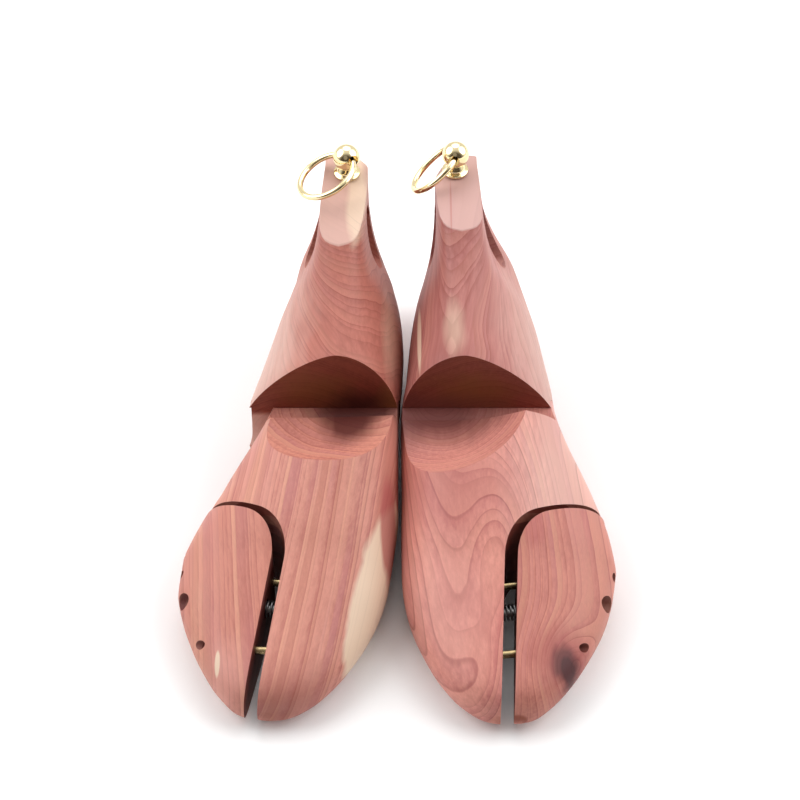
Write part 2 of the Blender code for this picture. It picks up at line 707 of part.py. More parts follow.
def slot_outline():
    """The finger slot's outline in (y, z): two half rounds and straight sides."""
    centre = np.array([SLOT_STATION_SHARE * HEEL_LENGTH, SLOT_HEIGHT])
    along = direction(SLOT_LEAN) * (SLOT_LENGTH - SLOT_WIDTH) / 2
    upper = arc(centre + along, SLOT_WIDTH / 2, SLOT_LEAN - 90, SLOT_LEAN + 90, SLOT_STEPS)
    lower = arc(centre - along, SLOT_WIDTH / 2, SLOT_LEAN + 90, SLOT_LEAN + 270, SLOT_STEPS)
    return upper + lower


def make_heel(side_name, foot, plain):
    front = -HEEL_FRONT_SHARE * FOREFOOT_LENGTH
    heel = last_solid(side_name + "_heel_block", front, 2 * HEEL_LENGTH, heel_draw(foot), plain)
    cut(heel, floor_box(plain))
    wide = (-BALL_WIDTH, 2 * BALL_WIDTH)
    cut(heel, across("joint", heel_clear_outline(CLEARANCE, NECK_HEIGHT + OVERRUN), *wide, plain))
    cut(heel, across("finger_slot", slot_outline(), *wide, plain))
    far = 2 * HEEL_LENGTH
    roof = NECK_HEIGHT * 2
    near = FACET_START_SHARE * HEEL_LENGTH
    facet = [(near, facet_height(near, foot)), (far, facet_height(far, foot)), (far, roof), (near, roof)]
    cut(heel, across("facet", facet, *wide, plain))
    half = PLATE_THICKNESS / 2 + CLEARANCE
    low = HINGE_HEIGHT - PLATE_HALF_HEIGHT - CLEARANCE
    high = HINGE_HEIGHT + PLATE_HALF_HEIGHT + CLEARANCE
    mortise = ((0, low), (PLATE_REACH + CLEARANCE, low), (PLATE_REACH + CLEARANCE, high), (0, high))
    middle = hinge_centre()
    cut(heel, across("mortise", mortise, middle - half, middle + half, plain))
    return heel


def make_hinge(side_name, heel, foot, plain, materials):
    """Hinge plate, hinge pin and the two cross pins that hold the plate in the heel."""
    steel = materials[2]
    middle = hinge_centre()
    half = PLATE_THICKNESS / 2
    spare = math.degrees(math.asin(PLATE_HALF_HEIGHT / EYE_RADIUS))
    outline = arc((0, HINGE_HEIGHT), EYE_RADIUS, spare, 360 - spare, EYE_STEPS)
    low, high = HINGE_HEIGHT - PLATE_HALF_HEIGHT, HINGE_HEIGHT + PLATE_HALF_HEIGHT
    outline += [(PLATE_REACH, low), (PLATE_REACH, high)]
    plate = across(side_name + "_hinge_plate", outline, middle - half, middle + half, plain)
    pieces = []
    places = [("hinge_pin", 0, HINGE_PIN_RADIUS, HINGE_PIN_PAST)]
    for label, share in zip(("front", "rear"), CROSS_PIN_SHARES):
        places.append((f"cross_pin_{label}", share * PLATE_REACH, CROSS_PIN_RADIUS, CROSS_PIN_PAST))
    for label, y, radius, past in places:
        inner = last_inner(y, foot) + HINGE_PIN_SINK
        start, end = (inner, y, HINGE_HEIGHT), (middle + past, y, HINGE_HEIGHT)
        bore = radius + CLEARANCE
        bore_end = (end[0] + CLEARANCE, y, HINGE_HEIGHT)
        cut(plate, rod("hole", (-OVERRUN, y, HINGE_HEIGHT), (HEEL_WIDTH, y, HINGE_HEIGHT), bore, plain))
        if y > 0:
            cut(heel, rod("bore", (-OVERRUN, y, HINGE_HEIGHT), bore_end, bore, plain))
        pin = rod(f"{side_name}_{label}", start, end, radius, plain)
        pieces.append((pin, steel, plain((middle, y, HINGE_HEIGHT))))
    pieces.append((plate, steel, plain((middle, 0, HINGE_HEIGHT))))
    return pieces


def last_inner(y, foot):
    """Where the inner side is at this y: the forefoot's at the hinge, the heel's behind it."""
    rows = smooth_rows(last_rows())
    edge = float(np.interp(y, rows[:, 0], rows[:, 1]))
    return edge - bow(y, foot) if y else edge + inner_hollow(y, foot)


def make_knob(side_name, heel, foot, plain, materials):
    """Brass knob, its screw and the ring through its ball."""
    brass, steel = materials[1], materials[2]
    y = KNOB_STATION_SHARE * HEEL_LENGTH
    x = KNOB_SIDE_SHARE * HEEL_WIDTH - foot["ridge_shift"]
    axis = np.array([0, *direction(90 + foot["facet_lean"])])
    foot_point = np.array([x, y, facet_height(y, foot)]) + axis * CLEARANCE
    ball_foot = math.asin(FOOT_SHARES[-1][1] * FLANGE_RADIUS / BALL_RADIUS)
    ball_height = FOOT_HEIGHT + BALL_RADIUS * math.cos(ball_foot)
    profile = [(along * FOOT_HEIGHT, radius * FLANGE_RADIUS) for along, radius in FOOT_SHARES[:-1]]
    for angle in np.linspace(ball_foot, math.radians(BALL_END), BALL_STEPS + 1):
        profile.append((ball_height - BALL_RADIUS * math.cos(angle), BALL_RADIUS * math.sin(angle)))
    knob = turned(side_name + "_knob", profile, foot_point, axis, plain, KNOB_SIDES)
    bore = SCREW_RADIUS + CLEARANCE
    top = foot_point + axis * SCREW_SOCKET
    bottom = top - axis * SCREW_LENGTH
    cut(knob, rod("socket", foot_point - axis * OVERRUN, top + axis * CLEARANCE, bore, plain))
    cut(heel, rod("screw_bore", bottom - axis * CLEARANCE, foot_point + axis * OVERRUN, bore, plain))
    screw = rod(side_name + "_knob_screw", bottom, top, SCREW_RADIUS, plain, SCREW_SIDES)
    ball = plain(foot_point + axis * ball_height)
    facing, down = ring_directions(foot)
    reach = facing * 2 * BALL_RADIUS
    hole = rod("ring_hole", ball - reach, ball + reach, BALL_BORE_RADIUS, as_it_is, HOLE_SIDES)
    cut(knob, hole)
    sag = RING_RADIUS - math.sqrt(RING_RADIUS**2 - BALL_RADIUS**2)
    centre = ball + down * (RING_RADIUS - sag / 2)
    ring = ring_solid(side_name + "_ring", centre, facing, down)
    print(f"{side_name} ring axis {facing.round(4)}")
    return [(knob, brass, ball), (screw, steel, ball), (ring, brass, ball)]


def ring_directions(foot):
    """The way the ball's hole faces, and the way from the ball to the ring's middle."""
    turn, rise, hang = (math.radians(foot[key]) for key in ("hole_facing", "hole_rise", "ring_hang"))
    flat = np.array([math.sin(turn), -math.cos(turn), 0.0])
    facing = flat * math.cos(rise) + np.array([0, 0, math.sin(rise)])
    level = np.array([-math.cos(turn), -math.sin(turn), 0.0])
    upward = np.cross(level, facing)
    upward = upward * math.copysign(1, upward[2])
    return facing, level * math.cos(hang) - upward * math.sin(hang)


def as_it_is(point):
    return np.array(point, float)


def placers(foot):
    """Two ways from a tree's own frame to the world: the plain one and the forefoot's, yawed at the hinge."""
    side, yaw, shift = foot["side"], math.radians(foot["yaw"]), foot["shift"]
    middle = hinge_centre()

    def plain(point):
        x, y, z = point
        return np.array([side * (x + PAIR_GAP / 2), y, z])

    def fore(point):
        x, y, z = point
        turned_x = middle + (x - middle) * math.cos(yaw) - y * math.sin(yaw) - shift
        turned_y = y * math.cos(yaw) + (x - middle) * math.sin(yaw)
        return plain((turned_x, turned_y, z))

    return plain, fore


def make_tree(side_name, materials):
    cedar = materials[0]
    foot = FEET[side_name]
    plain, fore = placers(foot)
    block, wing = make_forefoot(side_name, foot, fore, plain)
    pieces = make_slide_hardware(side_name, foot, block, wing, fore, materials)
    heel = make_heel(side_name, foot, plain)
    pieces += make_hinge(side_name, heel, foot, plain, materials)
    pieces += make_knob(side_name, heel, foot, plain, materials)
    hinge = plain((hinge_centre(), 0, HINGE_HEIGHT))
    pieces += [(block, cedar, hinge), (heel, cedar, hinge)]
    at_bolt = fore(kerf_point(BOLT_STATION_SHARE, foot))
    pieces.append((wing, cedar, at_bolt))
    for thing, material, origin in pieces:
        finish(thing, material, origin)
    return [piece[0] for piece in pieces], {
        "hinge": hinge,
        "slide at": at_bolt,
        "slide axis": fore(slide_axis(foot)) - fore((0, 0, 0)),
    }


def centre_on_floor(things, marks):
    """Moves everything so that the origin is the bottom centre of the whole pair."""
    bpy.context.view_layer.update()
    corners = []
    for thing in things:
        points = np.array([vertex.co for vertex in thing.data.vertices]) + np.array(thing.location)
        corners += [points.min(axis=0), points.max(axis=0)]
    low, high = np.min(corners, axis=0), np.max(corners, axis=0)
    move = np.array([-(low[0] + high[0]) / 2, -(low[1] + high[1]) / 2, -low[2]])
    for thing in things:
        thing.location = np.array(thing.location) + move
    print("size", (high - low).round(4), "moved by", move.round(5))
    for name, values in marks.items():
        for label, value in values.items():
            shown = value if label.endswith("axis") else value + move
            print(name, label, shown.round(5))


def main():
    clear_scene()
    materials = (
        make_material("cedar", CEDAR_COLOUR, 0.55, 0.0),
        make_material("brass", BRASS_COLOUR, 0.18, 1.0),
        make_material("steel", STEEL_COLOUR, 0.35, 1.0),
    )
    things, marks = [], {}
    for side_name in FEET:
        made, marks[side_name] = make_tree(side_name, materials)
        things += made
    centre_on_floor(things, marks)


main()
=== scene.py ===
import json
import math

import bmesh
import bpy
import numpy as np
from mathutils import Matrix, Vector


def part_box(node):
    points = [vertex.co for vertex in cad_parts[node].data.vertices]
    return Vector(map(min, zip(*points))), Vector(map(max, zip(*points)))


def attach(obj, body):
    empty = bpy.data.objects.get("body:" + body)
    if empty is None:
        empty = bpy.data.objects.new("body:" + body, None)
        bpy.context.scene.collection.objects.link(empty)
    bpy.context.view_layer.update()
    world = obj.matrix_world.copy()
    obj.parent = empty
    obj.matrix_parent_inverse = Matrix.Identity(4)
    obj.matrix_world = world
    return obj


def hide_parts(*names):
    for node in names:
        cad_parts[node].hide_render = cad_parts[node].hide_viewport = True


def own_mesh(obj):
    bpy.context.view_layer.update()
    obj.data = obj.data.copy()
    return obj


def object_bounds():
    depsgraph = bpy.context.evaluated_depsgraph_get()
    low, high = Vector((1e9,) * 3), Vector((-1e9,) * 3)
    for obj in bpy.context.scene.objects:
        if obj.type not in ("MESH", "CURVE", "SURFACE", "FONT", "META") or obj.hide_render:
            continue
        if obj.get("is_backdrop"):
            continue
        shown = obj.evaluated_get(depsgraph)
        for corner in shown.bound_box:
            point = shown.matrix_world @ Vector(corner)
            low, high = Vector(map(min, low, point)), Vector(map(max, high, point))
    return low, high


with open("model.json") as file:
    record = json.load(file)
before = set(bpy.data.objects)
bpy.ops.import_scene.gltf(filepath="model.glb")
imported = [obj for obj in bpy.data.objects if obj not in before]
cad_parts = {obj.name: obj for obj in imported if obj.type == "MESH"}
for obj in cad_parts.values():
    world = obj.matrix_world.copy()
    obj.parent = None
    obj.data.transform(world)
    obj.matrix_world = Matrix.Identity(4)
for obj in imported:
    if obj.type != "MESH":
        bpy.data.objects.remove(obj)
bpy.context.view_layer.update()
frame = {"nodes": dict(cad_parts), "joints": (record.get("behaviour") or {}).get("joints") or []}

# Forefoot blocks: the front half of each tree, shaped on a copying lathe from one piece of aromatic
# cedar. The toe is sawn apart from it, the rear top is scooped out and the round knuckle of the
# hinge is left standing across the back. Sanded and left bare.
FOREFOOT_LENGTH = 0.152
HEEL_LENGTH = 0.121
BALL_WIDTH = 0.095
HEEL_WIDTH = 0.072
INSTEP_HEIGHT = 0.0765
NECK_HEIGHT = 0.116
PAIR_GAP = 0.0010
CLEARANCE = 0.0003
OVERRUN = 0.004
WELD = 0.000002
HINGE_HEIGHT = 0.031
KNUCKLE_RADIUS = 0.012
KNUCKLE_STEPS = 48
LAP = 0.013
SWING_CLEARED = 31.5
SCOOP_DEPTH = 0.0022
SCOOP_START = 0.0049
SCOOP_EASE = 0.004
KERF_EXIT_LEAN = 25.0
KERF_BEND_RADIUS = 0.026
KERF_BEND_STEPS = 24
KERF_SIDE_SHARE = 0.470
PIN_HEIGHT = 0.0190
PIN_RADIUS = 0.0017
PIN_SEAT = 0.015
PIN_STATION_SHARES = (0.822, 0.573)
BOLT_RADIUS = 0.0018
BOLT_SEAT = 0.016
BOLT_STATION_SHARE = 0.672
SPRING_RADIUS = 0.0032
SPRING_WIRE = 0.0005
SPRING_POCKET = 0.004
SPRING_POCKET_RADIUS = SPRING_RADIUS + SPRING_WIRE + 2 * CLEARANCE
HINGE_PIN_RADIUS = 0.0025
HINGE_BORE_SHARE = 0.7
NECK_WIDTH = 0.0204
BALL_SHARE = 0.40
FOREFOOT_REAR_SHARE = 0.10
INNER_WAIST_SHARE = 0.31
OUTER_WAIST_SHARES = (0.30, 0.64)
SHARP_ANGLE = 50.0
SHARP_CUT_ANGLE = 28.0
STEEP = 0.9
CUT_SLOT = 1
# Saw cuts and bores take a dark wood: sawn cedar, a little darker than sanded, painted much darker
# for the shade deep inside them.
SHADED_CUT_SLOT = 2
MILLED_SLOT = 3
CUTTER_SLOTS = {"kerf": SHADED_CUT_SLOT, "bores": SHADED_CUT_SLOT, "scoop": MILLED_SLOT}
FINE = 5
SECTION_STEPS = 28
SOLE_STEPS = 24
SCOOP_STEPS = 48
NECK_STEPS = 4
BORE_SIDES = 32

FEET = {
    "left": {
        "side": 1, "yaw": 0.0, "shift": 0.0, "inner_hollow": 0.0, "outer_hollow": 0.0, "bow": 0.0,
        "kerf_lean": 2.8, "kerf_bend_share": 0.565, "slide_lean": 6.0, "scoop_height": 0.0425,
        "scoop_radius": 0.0625, "scoop_tilt": 27.2, "scoop_side_radius": 0.058,
        "facet_lean": 6.0, "facet_height": 0.0998, "ridge_shift": 0.0,
    },
    "right": {
        "side": -1, "yaw": 7.0, "shift": 0.006, "inner_hollow": 0.0062, "outer_hollow": 0.0065,
        "bow": 0.0085, "kerf_lean": -1.8, "kerf_bend_share": 0.585, "slide_lean": -1.0,
        "scoop_height": 0.0450, "scoop_radius": 0.080, "scoop_tilt": -3.0,
        "scoop_side_radius": 0.25, "facet_lean": 8.0, "facet_height": 0.0985, "ridge_shift": 0.001,
    },
}

# Rows of the last from toe tip to heel, as shares: station, inner, outer, ridge, rise, top, girth,
# sole, two powers for how full the inner and outer sides are, and how far the neck is drawn in.
LAST_SHARES = (
    (-1.000, 0.420, 0.500, 0.460, 0.00, 0.156, 0.117, 0.085, 2.00, 2.00, 0.00),
    (-0.985, 0.345, 0.560, 0.460, 0.00, 0.220, 0.130, 0.058, 2.10, 2.10, 0.00),
    (-0.960, 0.285, 0.610, 0.455, 0.00, 0.268, 0.143, 0.039, 2.20, 2.20, 0.00),
    (-0.920, 0.222, 0.672, 0.445, 0.00, 0.306, 0.149, 0.026, 2.25, 2.25, 0.00),
    (-0.860, 0.158, 0.742, 0.425, 0.00, 0.342, 0.156, 0.013, 2.25, 2.25, 0.00),
    (-0.800, 0.110, 0.800, 0.405, 0.00, 0.374, 0.162, 0.004, 2.20, 2.20, 0.00),
    (-0.720, 0.060, 0.865, 0.380, 0.00, 0.418, 0.169, -0.014, 2.20, 2.20, 0.00),
    (-0.640, 0.025, 0.912, 0.352, 0.00, 0.468, 0.182, -0.016, 2.20, 2.10, 0.00),
    (-0.560, 0.006, 0.940, 0.334, 0.00, 0.520, 0.195, -0.016, 2.15, 2.00, 0.00),
    (-0.480, 0.002, 0.957, 0.316, 0.00, 0.591, 0.221, -0.014, 2.10, 1.90, 0.00),
    (-0.360, 0.001, 0.985, 0.302, 0.00, 0.688, 0.247, 0.006, 2.00, 1.75, 0.00),
    (-0.280, 0.003, 1.000, 0.306, 0.00, 0.760, 0.286, 0.020, 1.95, 1.65, 0.00),
    (-0.200, 0.002, 0.995, 0.323, 0.00, 0.831, 0.351, 0.035, 1.90, 1.55, 0.00),
    (-0.100, 0.000, 0.990, 0.360, 0.00, 0.915, 0.403, 0.045, 1.90, 1.50, 0.00),
    (0.015, 0.000, 1.000, 0.403, 0.00, 1.000, 0.450, 0.050, 1.90, 1.45, 0.00),
    (0.170, 0.028, 0.985, 0.400, 0.06, 1.000, 0.420, 0.045, 1.90, 1.50, 0.05),
    (0.330, 0.045, 0.955, 0.400, 0.19, 1.000, 0.370, 0.020, 1.95, 1.65, 0.20),
    (0.450, 0.062, 0.925, 0.398, 0.34, 1.000, 0.340, -0.014, 2.00, 1.80, 0.42),
    (0.560, 0.090, 0.885, 0.392, 0.53, 1.000, 0.320, -0.016, 2.00, 1.90, 0.75),
    (0.660, 0.138, 0.845, 0.383, 0.76, 1.000, 0.310, -0.016, 2.00, 1.90, 1.00),
    (0.750, 0.185, 0.800, 0.374, 0.92, 1.000, 0.310, -0.016, 2.00, 1.90, 1.00),
    (0.830, 0.230, 0.730, 0.366, 1.00, 1.000, 0.310, -0.012, 2.00, 1.90, 1.00),
    (0.895, 0.280, 0.655, 0.362, 1.00, 1.000, 0.310, 0.010, 2.00, 1.90, 1.00),
    (0.930, 0.315, 0.610, 0.368, 1.00, 0.965, 0.310, 0.030, 2.00, 1.90, 0.95),
    (0.962, 0.355, 0.560, 0.390, 1.00, 0.830, 0.310, 0.065, 2.00, 1.90, 0.80),
    (0.985, 0.395, 0.520, 0.420, 1.00, 0.580, 0.310, 0.130, 2.00, 1.90, 0.50),
    (1.000, 0.430, 0.490, 0.450, 1.00, 0.360, 0.310, 0.250, 2.00, 1.90, 0.00),
)
NECK_DRAW_SHARES = (0.0, 0.03, 0.17, 0.42, 0.63, 0.84, 0.98, 1.0, 1.0)
NECK_RISE_SHARES = (0.0, 0.20, 0.34, 0.44, 0.53, 0.65, 0.86, 0.97, 1.0)
NECK_ROUND_SHARES = (1.0, 1.0, 1.0, 1.0, 1.0, 1.0, 0.99, 0.86, 0.0)
SOLE_POWER = 2.8

# The pair stands where the record has its hinge.
left_hinge = next(j for j in frame["joints"] if j["name"] == "left_heel_fold")["pos_m"]
stand = np.array(left_hinge) - np.array([(HEEL_WIDTH + PAIR_GAP) / 2, 0, HINGE_HEIGHT])


def mix(first, second, share):
    return first + (second - first) * share


def heading(degrees):
    return np.array([math.cos(math.radians(degrees)), math.sin(math.radians(degrees))])


def fair(rows, steps):
    """A smooth curve through the given rows, with some steps between each two."""
    rows = np.array(rows, float)
    padded = np.vstack([2 * rows[0] - rows[1], rows, 2 * rows[-1] - rows[-2]])
    curve = []
    for a, b, c, d in zip(padded, padded[1:], padded[2:], padded[3:]):
        for step in range(steps):
            t = step / steps
            turn = 2 * a - 5 * b + 4 * c - d + t * (3 * (b - c) + d - a)
            curve.append(b + 0.5 * t * (c - a + t * turn))
    curve.append(rows[-1])
    return np.array(curve)


def last_rows():
    """The table in metres, with fair rows between."""
    rows = []
    for station, inner, outer, ridge, rise, top, girth, sole, *powers, bell in LAST_SHARES:
        length = FOREFOOT_LENGTH if station < 0 else HEEL_LENGTH
        width = mix(HEEL_WIDTH, BALL_WIDTH, min(max(-station, 0) / BALL_SHARE, 1))
        height = mix(INSTEP_HEIGHT, NECK_HEIGHT, rise)
        wide = (inner * width, outer * width, ridge * width)
        up = (top * height, girth * INSTEP_HEIGHT, sole * INSTEP_HEIGHT)
        rows.append((station * length, *wide, *up, *powers, bell))
    return fair(rows, FINE)


rows_of_last = last_rows()
neck_curve = fair(list(zip(NECK_DRAW_SHARES, NECK_RISE_SHARES, NECK_ROUND_SHARES)), NECK_STEPS)
neck_places = range(len(neck_curve))
neck_steps = np.linspace(0, neck_places[-1], SECTION_STEPS + 1)
neck_curve = [np.interp(neck_steps, neck_places, column) for column in neck_curve.T]
neck_curve = np.clip(np.array(neck_curve).T, 0, 1)


def flank(reach, power, bell):
    """One side of the section, from its widest line up to the ridge."""
    neck = math.copysign(min(NECK_WIDTH / 2, abs(reach)), reach)
    points = []
    for i in range(SECTION_STEPS + 1):
        angle = math.pi / 2 * i / SECTION_STEPS
        wide = reach * max(math.cos(angle), 0.0) ** (2 / power)
        high = math.sin(angle) ** (2 / power)
        draw, rise, rounding = neck_curve[i]
        points.append((mix(wide, mix(reach, neck, draw) * rounding, bell), mix(high, rise, bell)))
    return points


def section(row, draw_in):
    """One closed section of the last, drawn in at its inner side, outer side and ridge."""
    y, inner, outer, ridge, top, girth, sole, inner_power, outer_power, bell = row
    inner_change, outer_change, ridge_change = draw_in(y)
    inner, outer, ridge = inner + inner_change, outer - outer_change, ridge - ridge_change
    outer_side, inner_side = (
        [(ridge + wide, y, mix(girth, top, high)) for wide, high in flank(reach, power, bell)]
        for reach, power in ((outer - ridge, outer_power), (inner - ridge, inner_power))
    )
    middle, half = (inner + outer) / 2, (outer - inner) / 2
    under = []
    for i in range(1, SOLE_STEPS):
        angle = math.pi * i / SOLE_STEPS
        wide = math.copysign(abs(math.cos(angle)) ** (2 / SOLE_POWER), math.cos(angle))
        deep = math.sin(angle) ** (2 / SOLE_POWER)
        under.append((middle - half * wide, y, max(mix(girth, sole, deep), 0)))
    return outer_side + inner_side[-2::-1] + under


def ramp(y, shares):
    """From nought to one between two stations of the forefoot."""
    rear, front = (share * FOREFOOT_LENGTH for share in shares)
    return min(max((front + y) / (front - rear), 0), 1)


def placers(foot):
    """How a heel and a forefoot come to where the pair stands. The forefoot sits turned a little
    about the middle of the hinge line, and shifted.
    """
    side, yaw, shift = foot["side"], math.radians(foot["yaw"]), foot["shift"]
    middle = HEEL_WIDTH / 2

    def plain(point):
        x, y, z = point
        return np.array([side * (x + PAIR_GAP / 2), y, z]) + stand

    def fore(point):
        x, y, z = point
        turned_x = middle + (x - middle) * math.cos(yaw) - y * math.sin(yaw) - shift
        turned_y = y * math.cos(yaw) + (x - middle) * math.sin(yaw)
        return plain((turned_x, turned_y, z))

    return plain, fore


def put_in(name, data):
    """A new object in the scene, for a mesh, a curve, a lamp or the camera."""
    thing = bpy.data.objects.new(name, data)
    bpy.context.scene.collection.objects.link(thing)
    return thing


def body(name, bm):
    """A body to cut or to cut with. It has a material slot for each kind of cut."""
    mesh = bpy.data.meshes.new(name)
    bm.to_mesh(mesh)
    bm.free()
    for _ in range(MILLED_SLOT + 1):
        mesh.materials.append(None)
    return put_in(name, mesh)


def stack(name, rings, place):
    """A closed body through rings of points, with flat ends."""
    bm = bmesh.new()
    rows = [[bm.verts.new(place(point)) for point in ring] for ring in rings]
    count = len(rows[0])
    for lower, upper in zip(rows, rows[1:]):
        for i in range(count):
            bm.faces.new((lower[i], lower[(i + 1) % count], upper[(i + 1) % count], upper[i]))
    bm.faces.new(rows[0])
    bm.faces.new(rows[-1])
    bmesh.ops.recalc_face_normals(bm, faces=bm.faces)
    return body(name, bm)


def together(name, things):
    """Several cutters that don't meet, as one."""
    bm = bmesh.new()
    for thing in things:
        bm.from_mesh(thing.data)
        bpy.data.objects.remove(thing, do_unlink=True)
    return body(name, bm)


def last_body(name, low, high, draw_in, place):
    """The last between two stations."""
    kept = rows_of_last[(rows_of_last[:, 0] > low) & (rows_of_last[:, 0] < high)]
    return stack(name, [section(row, draw_in) for row in kept], place)


def front_of_last(name, draw_in, place):
    """The last from its toe to just behind the hinge line."""
    rear = FOREFOOT_REAR_SHARE * FOREFOOT_LENGTH
    return last_body(name, -2 * FOREFOOT_LENGTH, rear, draw_in, place)


def across(name, outline, place):
    """An outline in (y, z) carried right through the block from side to side."""
    ends = (-BALL_WIDTH, 2 * BALL_WIDTH)
    return stack(name, [[(x, y, z) for y, z in outline] for x in ends], place)


def arc(centre, radius, first, last, steps):
    angles = np.linspace(first, last, steps + 1)
    return [tuple(np.array(centre) + radius * heading(angle)) for angle in angles]


def turned(name, profile, start, axis, place, sides=BORE_SIDES):
    """A body turned from (distance along axis, radius) pairs."""
    start, axis = np.array(start), np.array(axis) / np.linalg.norm(axis)
    side = np.cross(axis, (0, 0, 1) if abs(axis[2]) < STEEP else (0, 1, 0))
    side = side / np.linalg.norm(side)
    other = np.cross(axis, side)
    rings = []
    for along, radius in profile:
        turns = [heading(360 * i / sides) * radius for i in range(sides)]
        rings.append([start + axis * along + side * u + other * v for u, v in turns])
    return stack(name, rings, place)


def drilled(name, radius, length, start, axis, place, sides=BORE_SIDES):
    """A plain round bore."""
    return turned(name, ((0, radius), (length, radius)), start, axis, place, sides)


def settled(thing):
    """The mesh of a thing with its modifiers or its bevel worked out."""
    bpy.context.view_layer.update()
    now = bpy.context.evaluated_depsgraph_get()
    return bpy.data.meshes.new_from_object(thing.evaluated_get(now))


def carve(block, cutters, operation="DIFFERENCE"):
    """Cuts the block with each cutter in turn. A cut face gets the slot of its kind of cut."""
    for cutter in cutters:
        slot = CUTTER_SLOTS.get(cutter.name.split(".")[0], CUT_SLOT)
        faces = cutter.data.polygons
        faces.foreach_set("material_index", [slot] * len(faces))
        modifier = block.modifiers.new(cutter.name, "BOOLEAN")
        modifier.operation, modifier.solver, modifier.object = operation, "EXACT", cutter
        block.data = settled(block)
        block.modifiers.clear()
        bpy.data.objects.remove(cutter, do_unlink=True)


def sand(block, material, *others):
    """Cleans the cut block, keeps its sawn edges crisp, smooths the rest and gives it its wood."""
    bm = bmesh.new()
    bm.from_mesh(block.data)
    bmesh.ops.remove_doubles(bm, verts=bm.verts, dist=WELD)
    bmesh.ops.dissolve_degenerate(bm, edges=bm.edges, dist=WELD)
    many_sided = [face for face in bm.faces if len(face.verts) > 4]
    bmesh.ops.triangulate(bm, faces=many_sided, ngon_method="BEAUTY")
    for edge in bm.edges:
        slots = {face.material_index for face in edge.link_faces}
        limit = SHARP_CUT_ANGLE if max(slots) >= CUT_SLOT else SHARP_ANGLE
        edge.smooth = len(slots) == 1 and edge.calc_face_angle(0.0) < math.radians(limit)
    for face in bm.faces:
        face.material_index = max(face.material_index - CUT_SLOT, 0) if others else 0
        face.smooth = True
    block.data.materials.clear()
    for each in (material, *others):
        block.data.materials.append(each)
    bm.to_mesh(block.data)
    bm.free()


def kerf_path(offset, foot):
    """One side of the curved saw cut in plan, toe to outer side, offset from the block's side."""
    lean = foot["kerf_lean"]
    bend_y = -foot["kerf_bend_share"] * FOREFOOT_LENGTH
    along, outward = heading(90 - lean), heading(-lean)
    centre = np.array([KERF_SIDE_SHARE * BALL_WIDTH, bend_y]) + outward * KERF_BEND_RADIUS
    last = 90 + KERF_EXIT_LEAN
    bend = arc(centre, KERF_BEND_RADIUS - offset, 180 - lean, last, KERF_BEND_STEPS)
    start = np.array(bend[0]) - along * FOREFOOT_LENGTH
    end = np.array(bend[-1]) + heading(KERF_EXIT_LEAN) * BALL_WIDTH
    return [tuple(start), *bend, tuple(end)]


def wing_side(name, offset, foot, place):
    """All that lies on the wing's side of the saw cut."""
    path = kerf_path(offset, foot)
    far = BALL_WIDTH + path[-1][0]
    outline = [*path, (far, path[-1][1]), (far, path[0][1])]
    levels = (-OVERRUN, INSTEP_HEIGHT + OVERRUN)
    return stack(name, [[(x, y, z) for x, y in outline] for z in levels], place)


def kerf_point(share, foot):
    """Where the line of a pin at this station crosses the block's side of the saw cut."""
    y = -share * FOREFOOT_LENGTH
    bend_y = -foot["kerf_bend_share"] * FOREFOOT_LENGTH
    x = KERF_SIDE_SHARE * BALL_WIDTH + (y - bend_y) * math.tan(math.radians(foot["kerf_lean"]))
    return np.array([x, y, PIN_HEIGHT])


def slide_axis(foot):
    return np.array([*heading(foot["slide_lean"]), 0.0])


def slide_bores(foot, fore, pin_depth, bolt_profile):
    """The bores of the two guide pins and the bolt, along the way that the wing slides."""
    axis, bores = slide_axis(foot), []
    for share in PIN_STATION_SHARES:
        start = kerf_point(share, foot) - axis * pin_depth
        bores.append(drilled("pin", PIN_RADIUS + CLEARANCE, BALL_WIDTH, start, axis, fore))
    start = kerf_point(BOLT_STATION_SHARE, foot) - axis * BOLT_SEAT
    return [*bores, turned("bolt", bolt_profile, start, axis, fore)]


def scoop_body(foot, place):
    """What is milled off the rear top: level beside the knuckle, rising to the toe and across."""
    front, roof = -FOREFOOT_LENGTH / 2, NECK_HEIGHT + OVERRUN
    level = HINGE_HEIGHT + KNUCKLE_RADIUS - SCOOP_DEPTH
    tilt = math.tan(math.radians(foot["scoop_tilt"]))
    rings = []
    for x in np.linspace(-OVERRUN, BALL_WIDTH, SCOOP_STEPS):
        off = x - HEEL_WIDTH / 2
        side = off * tilt + off**2 / (2 * foot["scoop_side_radius"])
        ring = []
        for y in np.linspace(front, OVERRUN, SCOOP_STEPS):
            along = min(y + SCOOP_START, 0) ** 2 / (2 * foot["scoop_radius"])
            climb = foot["scoop_height"] + side + along - level
            eased = level + (climb + math.hypot(climb, SCOOP_EASE)) / 2
            ring.append((x, y, min(eased, NECK_HEIGHT)))
        rings.append([*ring, (x, OVERRUN, roof), (x, front, roof)])
    return stack("scoop", rings, place)


